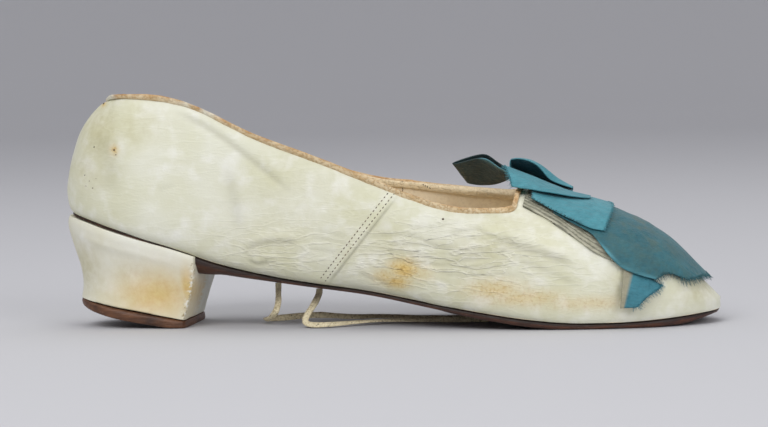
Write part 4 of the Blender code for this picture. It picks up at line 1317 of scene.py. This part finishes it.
# %% Tapes
TAPE_WIDTH = 2.4
TAPE_THICK = 0.8
TAPE_SIDES = 12
TAPE_STEPS = 4
TAPE_UNEVEN = 0.12
TAPE_PICK = 0.5655
OVER_FLOOR = 0.05
TIE_BACK_ROUTE = (
    (-41.2, -5.0, 15.3), (-41.1, -5.6, 13.4), (-40.9, -7.6, 11.0), (-40.6, -10.6, 8.4),
    (-41.4, -11.4, 5.4), (-43.4, -9.0, 2.9), (-45.6, -5.0, 1.6), (-46.6, -0.5, 1.3),
    (-44.4, 3.4, 1.3), (-40.0, 5.0, 1.5), (-34.0, 5.6, 2.0), (-27.0, 6.0, 2.2),
    (-16.0, 5.5, 1.6), (-6.0, 7.0, 1.5), (2.0, 6.5, 1.4), (10.0, 3.0, 1.3),
    (20.0, 0.5, 1.3), (28.0, -0.5, 1.3), (36.0, -1.0, 1.3),
)
TIE_FRONT_ROUTE = (
    (-25.9, -6.2, 13.1), (-26.0, -6.8, 11.4), (-26.6, -9.4, 9.4), (-27.9, -13.2, 6.8),
    (-29.4, -16.6, 4.2), (-29.6, -18.6, 2.0), (-26.8, -20.4, 1.3), (-22.0, -20.0, 1.3),
    (-16.6, -16.4, 1.3), (-11.0, -12.6, 1.4), (-4.0, -9.0, 1.5), (3.0, -6.6, 1.4),
    (11.0, -5.4, 1.3), (20.0, -5.0, 1.3), (28.0, -5.2, 1.3), (36.0, -5.6, 1.3),
)


def cotton_tape(name):
    """Matt cream cotton: its picks cross the tape, and it has gone brown and dirty in spots."""
    look, tree, shader, place = start_material(name, 0.85)
    picks = add(
        tree,
        "TexWave",
        {"bands_direction": "X"},
        {"Scale": 1.0, "Distortion": 1.0, "Detail": 1.0},
        {"Vector": add(tree, "Attribute", {"attribute_name": "weave"}).outputs["Vector"]},
    ).outputs["Fac"]
    layers = [
        ("#B59F74", picks, 0.35),
        ("#8C7856", blotches(tree, place, 6.0, 0.5, 0.75), 0.3),
        ("#97835A", blotches(tree, place, 0.8, 0.5, 0.62), 0.45),
        ("#3A3028", blotches(tree, place, 0.9, 0.62, 0.7), 0.7),
    ]
    lay_colours(tree, shader, "#EADFBD", layers)
    raise_surface(tree, shader, [(picks, 0.06), (blotches(tree, place, 1.0, 0.3, 0.7), 0.2)])
    return look


# %% [markdown]
# The tape keeps the direction across it from one ring to the next, and then twists. No ring goes under the
# floor. Where a point lies along the tape is painted on it, because the weave follows the tape.

# %% Make the tapes
def tape(route, name, look, node, twist):
    """One end of the tape along its route."""
    path = smooth_line(route, TAPE_STEPS)
    bm = bmesh.new()
    rings = []
    across = Vector((1, 0, 0))
    for i, spot in enumerate(path):
        run = Vector(path[min(i + 1, len(path) - 1)] - path[max(i - 1, 0)]).normalized()
        across = (across - run * across.dot(run)).normalized()
        turn = Matrix((across, run.cross(across), run)).transposed().to_4x4()
        turn = turn @ Matrix.Rotation(twist * math.sin(i / 5.0), 4, "Z")
        wide = TAPE_WIDTH / 2 * (1.0 + TAPE_UNEVEN * noise.noise(Vector(spot) / 2.5))
        size = Matrix.Diagonal((wide * MM, TAPE_THICK / 2 * MM, MM, 1.0))
        lie = Matrix.Translation(Vector(spot) * MM) @ turn @ size
        ring = bmesh.ops.create_circle(bm, segments=TAPE_SIDES, radius=1.0, matrix=lie)["verts"]
        lowest = min(v.co.z for v in ring)
        bmesh.ops.translate(bm, verts=ring, vec=(0, 0, max(0.0, OVER_FLOOR * MM - lowest)))
        rings.append({e for v in ring for e in v.link_edges})
    for first, second in zip(rings, rings[1:]):
        bmesh.ops.bridge_loops(bm, edges=[*first, *second])
    bmesh.ops.holes_fill(bm, edges=[e for e in bm.edges if e.is_boundary], sides=0)
    bmesh.ops.recalc_face_normals(bm, faces=bm.faces[:])
    obj = finish_piece(bm, name, look, node)
    spots, _ = points_of(obj)
    _, share = beside(spots, path)
    length = np.linalg.norm(np.diff(path, axis=0), axis=1).sum()
    weave = obj.data.attributes.new("weave", "FLOAT_VECTOR", "POINT")
    picks = np.stack([share * length * STRAIGHT_BAND / TAPE_PICK, 0 * share, 0 * share], axis=1)
    weave.data.foreach_set("vector", picks.ravel())
    print(name, "length in mm", round(length, 1))


cream_tape = cotton_tape("cream cotton tape")
tape(TIE_BACK_ROUTE, "tape_back", cream_tape, "tie_back", twist=0.35)
tape(TIE_FRONT_ROUTE, "tape_front", cream_tape, "tie_front", twist=-0.3)

# %% [markdown]
# ## The size of the finished slipper
# The dressed slipper has to stay in the box of the CAD model, so the box of its pieces is measured.

# %% Size and finish
low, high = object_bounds()
